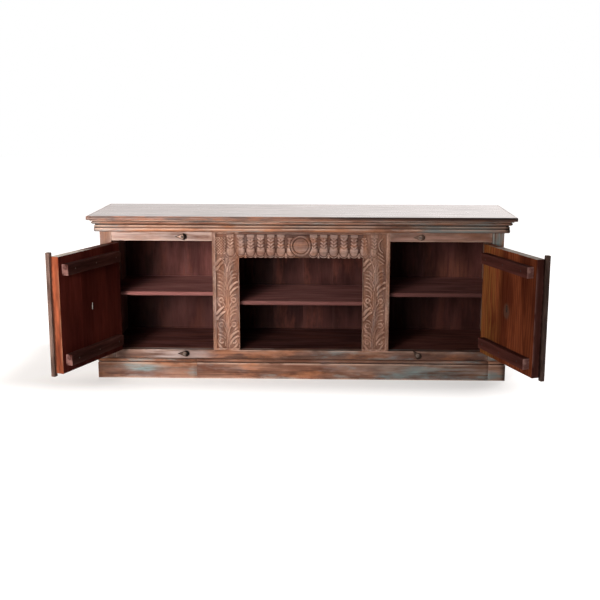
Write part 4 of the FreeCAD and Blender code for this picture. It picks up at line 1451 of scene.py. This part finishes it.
def door_planks(side, low, high):
    """Three boards. Their top ends are painted pale as a painted highlight, most of all near the free edge.
    """
    gather = Gather()
    free_edge = high[0] if side == "left" else low[0]
    for step, (first, last) in enumerate(split(low, high, 0, 3)):
        plank = {"seed": 400 + step, "board": 0.3 + 0.2 * step, "radius": 1.2 * MM, "cell": 7 * MM}
        add_board(gather, first, last, 2, rub=0.0, **plank)
        points = gather.points[-1]
        from_free = abs(points[:, 0] - free_edge) / (high[0] - low[0])
        # Painted highlight on the top ends, fading away from the free edge.
        pale = np.clip((TOP_HIGHLIGHT_REACH[side] - from_free) / TOP_HIGHLIGHT_FADE, 0.05, 1)
        gather.edge[-1] = 1.7 * pale * (points[:, 2] > high[2] - TOP_HIGHLIGHT_BAND)
        within = points[:, 1] > (low[1] + high[1]) / 2
        gather.paint[-1] = 1.0 * ~within
        if side == "right":
            x, half_x, z, half_z = PATCH
            reach = ((points[:, 0] - x) / half_x) ** 2 + ((points[:, 2] - z) / half_z) ** 2
            gather.cavity[-1] = np.clip(3 - 2.5 * reach, 0, 1) * within
            gather.paint[-1] = np.clip((points[:, 0] - GOLD_FROM) / GOLD_FADE, 0, 0.8) * within
    body = "door_" + side
    gather.make(body + "_planks", door_woods[side], body, "door_wood", body + "_boards", turn=swing[side])


print("door boards ready: lips of", round(LIP / MM, 1), "mm")

# %% [markdown]
# Then comes what is fixed to the boards. The battens and the bar are one board each. The strips are four
# boards, two upright ones with two level ones between them. The loop at the end makes one door after the
# other, and divides its box into boards and lip.

# %% Door trim
STRIP_WIDTH = 30 * MM
# Painted shade: the left door's battens are darker, with less pale ends, as that door turns from the lamp.
BATTENS = {"left": (0.16, 0.45), "right": (0.9, 1.6)}


def door_trim(side):
    """The battens, the bar and the strips."""
    turn, prefix, body = swing[side], "door_" + side + "_", "door_" + side
    tone, pale = BATTENS[side]
    for part in ("batten_top", "batten_bottom"):
        gather = Gather()
        batten = {"seed": 420 + len(part), "board": tone, "ends": pale, "radius": 2.0 * MM, "cell": 8 * MM}
        add_board(gather, *closed_box(prefix + part, turn), 0, rub=0.15, **batten)
        gather.make(prefix + part + "_board", batten_wood, body, "door_wood", prefix + part, turn=turn)

    gather = Gather()
    bar = closed_box(prefix + "cover_bar", turn)
    add_board(gather, *bar, 2, seed=440, radius=2.6 * MM, cell=5 * MM, board=0.1)
    gather.make(prefix + "bar", bar_wood, body, "door_wood", prefix + "cover_bar", turn=turn)

    gather = Gather()
    low, high = closed_box(prefix + "border", turn)
    for x in (low[0], high[0] - STRIP_WIDTH):
        add_board(gather, (x, low[1], low[2]), (x + STRIP_WIDTH, high[1], high[2]), 2, seed=450)
    left, right = low[0] + STRIP_WIDTH, high[0] - STRIP_WIDTH
    for z in (low[2], high[2] - STRIP_WIDTH):
        add_board(gather, (left, low[1], z), (right, high[1], z + STRIP_WIDTH), 0, seed=460)
    gather.make(prefix + "strips", weathered, body, "door_wood", prefix + "border", turn=turn)


for side in SIDES:
    low, high = closed_box("door_" + side + "_boards", swing[side])
    lip_low, lip_high = low.copy(), high.copy()
    if side == "left":
        low[0] += HINGE_GAP
        lip_low[0] = high[0] - LIP
        high[0] -= LIP - LIP_LAP
    else:
        high[0] -= HINGE_GAP
        lip_high[0] = low[0] + LIP
        low[0] += LIP - LIP_LAP
    door_lip(side, lip_low, lip_high)
    door_planks(side, low, high)
    door_trim(side)
new_names = [o.name for o in scene.objects if o.name not in frame["nodes"]]
print("door pieces:", sum(name.startswith("door_") for name in new_names))

# %% [markdown]
# ## Turn latches
#
# Four small leaves of wood turn on screws to keep the doors shut. Each is a drop with a domed front: thin at
# its rim, thick in the middle, with a rib down its length and a few cut veins. A sculpted leaf would not keep
# to the measured length and width. So it is made as rings that shrink from the rim to the top of the dome.
# The outline of the rim comes first.

# %% Latch outline
LATCH_LENGTH, LATCH_WIDTH, LATCH_RISE = 48.0, 26.0, 9.0


def drop_outline(count):
    """The rim of a drop with its point at the left, as points in mm round the middle of its round end."""
    radius = LATCH_WIDTH / 2
    point = np.array((radius - LATCH_LENGTH, 0))
    touch = math.acos(radius / (LATCH_LENGTH - radius))
    turn = np.linspace(math.pi - touch, touch - math.pi, count)
    rim = radius * np.stack([np.cos(turn), np.sin(turn)], 1)
    t = np.linspace(0, 1, 9)[1:, None]
    lower = rim[-1] + (point - rim[-1]) * t
    upper = point + (rim[0] - point) * t[:-1]
    return np.concatenate([rim, lower, upper])


print("a latch is", LATCH_LENGTH, "by", LATCH_WIDTH, "mm")

# %% [markdown]
# The leaves stay on their own bodies, so they still turn. The lower right one rests at a slant. The three
# numbers of a latch are its tone, the painted shadow on its rim and round end, and how much the rest is
# darkened with grime and painted shade.

# %% Latches
LATCH_RIM, LATCH_DOME, VEIN_STEP = 2.0, 5.6, 7.0
LATCH_PIVOT, HUB_RADIUS, UNSHADOWED_TIP = np.array((-5.6, 0)), 6, -34
SHRINKS = (1.0, 0.985, 0.94, 0.86, 0.74, 0.6, 0.44, 0.26, 0.1)
RIM_SHADOW = (1.0, 1.0, 1.0, 1.0, 0.9, 0.55, 0, 0, 0, 0)
REST_TURN = {"latch_bottom_right": math.radians(45)}
LATCHES = {
    "latch_top_left": (0.6, 1.0, 0.0),
    "latch_bottom_left": (0.4, 1.0, 0.75),
    "latch_top_right": (0.4, 0.6, 0.3),
    "latch_bottom_right": (0.2, 0.85, 0.65),
}


def latch_leaf(name, tone, rim_shadow, grime_and_shade):
    """One leaf. rim_shadow is how dark its painted shadow on rim and round end is, and grime_and_shade how
    dark the rest is.
    """
    joint = next(j for j in frame["joints"] if j["child"] == name)
    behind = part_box(name)[1].y
    rim = drop_outline(25)
    count = len(rim)
    rings, rises = [rim], [np.zeros(count)]
    for shrink in SHRINKS:
        ring = LATCH_PIVOT + (rim - LATCH_PIVOT) * shrink
        rise = LATCH_RIM + LATCH_DOME * math.sqrt(1 - shrink**2.2)
        rib = 0.9 * np.exp(-((ring[:, 1] / 1.6) ** 2)) * (shrink < 0.95)
        slanted = ring[:, 0] + 0.8 * abs(ring[:, 1])
        vein = 0.45 * np.cos(slanted * 2 * math.pi / VEIN_STEP) * (0.2 < shrink < 0.95)
        rings.append(ring)
        rises.append(np.clip(rise + rib + vein, 0.5, LATCH_RISE - 0.1))
    flat = np.concatenate(rings) - LATCH_PIVOT
    rise = np.concatenate(rises)
    angle = REST_TURN.get(name, 0.0)
    x = flat[:, 0] * math.cos(angle) + flat[:, 1] * math.sin(angle)
    z = -flat[:, 0] * math.sin(angle) + flat[:, 1] * math.cos(angle)
    points = np.stack([joint["pos_m"][0] + x * MM, behind - rise * MM, joint["pos_m"][2] + z * MM], 1)
    around = np.hypot(flat[:, 0], flat[:, 1])
    # Painted shadow on the round end and along the rim, but not near the tip.
    round_end = np.clip((flat[:, 0] - 1) / 4, 0, 1) * np.clip((around - HUB_RADIUS) / 2, 0, 1)
    rim_band = np.repeat(RIM_SHADOW, count) * (flat[:, 0] > UNSHADOWED_TIP)
    hub = np.exp(-(((around - HUB_RADIUS / 2) / 3.0) ** 2))
    cavity = 1.17 * np.maximum(rim_shadow * np.maximum(round_end, rim_band), grime_and_shade * (1 - hub))
    edge = np.exp(-(((around - HUB_RADIUS) / 2.2) ** 2))
    place = np.stack([flat[:, 0], flat[:, 1], rise], 1) * MM
    gather = Gather()
    gather.add(points, tube_faces(len(rings), count), place, edge=edge, cavity=cavity, board=tone)
    return gather.make(name + "_leaf", latch_wood, name, "weathered_wood", name)


for name, look in LATCHES.items():
    latch_leaf(name, *look)
print("latches:", list(LATCHES))

# %% [markdown]
# ## Rows of nails and dentils
#
# Hand-forged nails hold the back boards, and small blocks, the dentils, stand in a row over the carved
# tongues. Both are one shape repeated along a line, with a little luck in size and tone, so Geometry Nodes
# place them: a line of points, the shape on each point, a random size and a random board number from a fixed
# seed. Copies placed by hand would all be alike or would take long to vary. One function makes the graph for
# either shape, with a row's ends and count as inputs, and the result is turned into a plain mesh.

# %% Row graph


def row_graph(name, material):
    """Geometry Nodes that set copies of the object's own mesh along a line."""
    tree = bpy.data.node_groups.new(name, "GeometryNodeTree")
    sockets = tree.interface
    sockets.new_socket("Geometry", in_out="OUTPUT", socket_type="NodeSocketGeometry")
    sockets.new_socket("Shape", in_out="INPUT", socket_type="NodeSocketGeometry")
    kinds = {"Start": "Vector", "End": "Vector", "Count": "Int", "Seed": "Int", "Smallest": "Float"}
    for label, kind in kinds.items():
        sockets.new_socket(label, in_out="INPUT", socket_type="NodeSocket" + kind)
    given = tree.nodes.new("NodeGroupInput").outputs

    def random_value(smallest):
        span = {2: smallest, 3: 1.0, "Seed": given["Seed"]}
        return add(tree, "FunctionNodeRandomValue", span, data_type="FLOAT").outputs[1]

    ends = {"Count": given["Count"], "Start Location": given["Start"], "Offset": given["End"]}
    line = add(tree, "GeometryNodeMeshLine", ends, mode="END_POINTS").outputs[0]
    copies = {"Points": line, "Instance": given["Shape"], "Scale": random_value(given["Smallest"])}
    placed = add(tree, "GeometryNodeInstanceOnPoints", copies).outputs[0]
    tones = {"Geometry": placed, "Name": "board", "Value": random_value(0.0)}
    numbered = add(tree, "GeometryNodeStoreNamedAttribute", tones, data_type="FLOAT", domain="INSTANCE")
    real = add(tree, "GeometryNodeRealizeInstances", {"Geometry": numbered.outputs[0]})
    painted = add(tree, "GeometryNodeSetMaterial", {"Geometry": real.outputs[0], "Material": material})
    add(tree, "NodeGroupOutput", {0: painted.outputs[0]})
    return tree


print("row graph ready")

# %% [markdown]
# A graph works on an object through a modifier. A modifier's inputs go by hidden identifiers, so these are
# looked up by the names that the graph gives them. The graph ends by making its copies real, because an
# export drops bare instances. Each row is made on an object that is thrown away, and the plain meshes of
# all rows are joined into one piece.

# %% Rows as one piece


def rows(name, shape, graph, slot, lines, smallest):
    """One piece made of rows. Each line is its first place, its last place and how many copies."""
    joined = bmesh.new()
    for step, (start, end, count) in enumerate(lines):
        holder = bpy.data.objects.new(name + "_row", shape)
        scene.collection.objects.link(holder)
        modifier = holder.modifiers.new("row", "NODES")
        modifier.node_group = graph
        values = {"Start": start, "End": end, "Count": count, "Seed": 11 + step, "Smallest": smallest}
        for item in graph.interface.items_tree:
            if item.in_out == "INPUT" and item.name in values:
                modifier[item.identifier] = values[item.name]
        bpy.context.view_layer.update()
        evaluated = holder.evaluated_get(bpy.context.evaluated_depsgraph_get())
        made = bpy.data.meshes.new_from_object(evaluated)
        material = made.materials[0]
        joined.from_mesh(made)
        holder.modifiers.clear()
        bpy.data.objects.remove(holder)
        bpy.data.meshes.remove(made)
    mesh = bpy.data.meshes.new(name)
    joined.to_mesh(mesh)
    joined.free()
    mesh.materials.append(material)
    piece = bpy.data.objects.new(name, mesh)
    scene.collection.objects.link(piece)
    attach(piece, "cabinet")
    return piece


print("rows become plain meshes")

# %% [markdown]
# A nail head is a low blunt peak with eight corners, and a dentil is a small board. Two rows of nails cross
# the back boards at each of three heights, one for each edge of a board.

# %% Nails in the back and dentils on the header
NAIL_RINGS = ((3.2, -1.0), (3.2, 0.3), (1.5, 1.0))
NAIL_CORNERS = 8
NAIL_INSET = 20 * MM
DENTIL_LIFT, DENTIL_COUNT = 90 * MM, 5
DENTIL_LOW, DENTIL_HIGH = (-15.5 * MM, 1.2 * MM, -6 * MM), (15.5 * MM, 11 * MM, 6 * MM)


def nail_head():
    """A forged nail head round the origin that looks along Y."""
    turn = np.linspace(0, 2 * math.pi, NAIL_CORNERS, endpoint=False)
    points = []
    for radius, rise in NAIL_RINGS:
        points += [(radius * MM * math.cos(a), rise * MM, radius * MM * math.sin(a)) for a in turn]
    mesh = bpy.data.meshes.new("nail_head")
    mesh.from_pydata(points, [], tube_faces(len(NAIL_RINGS), NAIL_CORNERS))
    face_outwards(mesh)
    return mesh


nail_iron = metal("nail_iron", (0.03, 0.024, 0.02), (0.07, 0.055, 0.045), 0.8, 0.6)
low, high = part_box("back_boards")
width = (high.x - low.x) / BACK_COUNT
lines = []
for height in (low.z + NAIL_INSET, (low.z + high.z) / 2, high.z - NAIL_INSET):
    for shift in (0.25, 0.75):
        start, end = low.x + shift * width, high.x + (shift - 1) * width
        lines.append(((start, high.y, height), (end, high.y, height), BACK_COUNT))
rows("back_nails", nail_head(), row_graph("nail_row", nail_iron), "black_iron", lines, 0.75)

low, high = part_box("carved_header")
gather = Gather()
add_board(gather, DENTIL_LOW, DENTIL_HIGH, 0, cell=4 * MM, rub=0.35)
shape = gather.mesh("dentil_block", header_wood)
height = low.z + DENTIL_LIFT
spans = ((TONGUES[1], TONGUES[5]), (TONGUES[7], TONGUES[11]))
lines = [((start * MM, low.y, height), (end * MM, low.y, height), DENTIL_COUNT) for start, end in spans]
rows("header_dentils", shape, row_graph("dentil_row", header_wood), "weathered_wood", lines, 0.94)
for name in ("back_nails", "header_dentils"):
    print(name, "has", len(bpy.data.objects[name].data.polygons), "faces")

# %% [markdown]
# ## The two boxes
#
# The last cell prints the box of the measured frame and the box of all that was made here.

# %% Boxes
size = {"cad": cad_box, "visual": [list(corner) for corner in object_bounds()]}
print("size:", size)
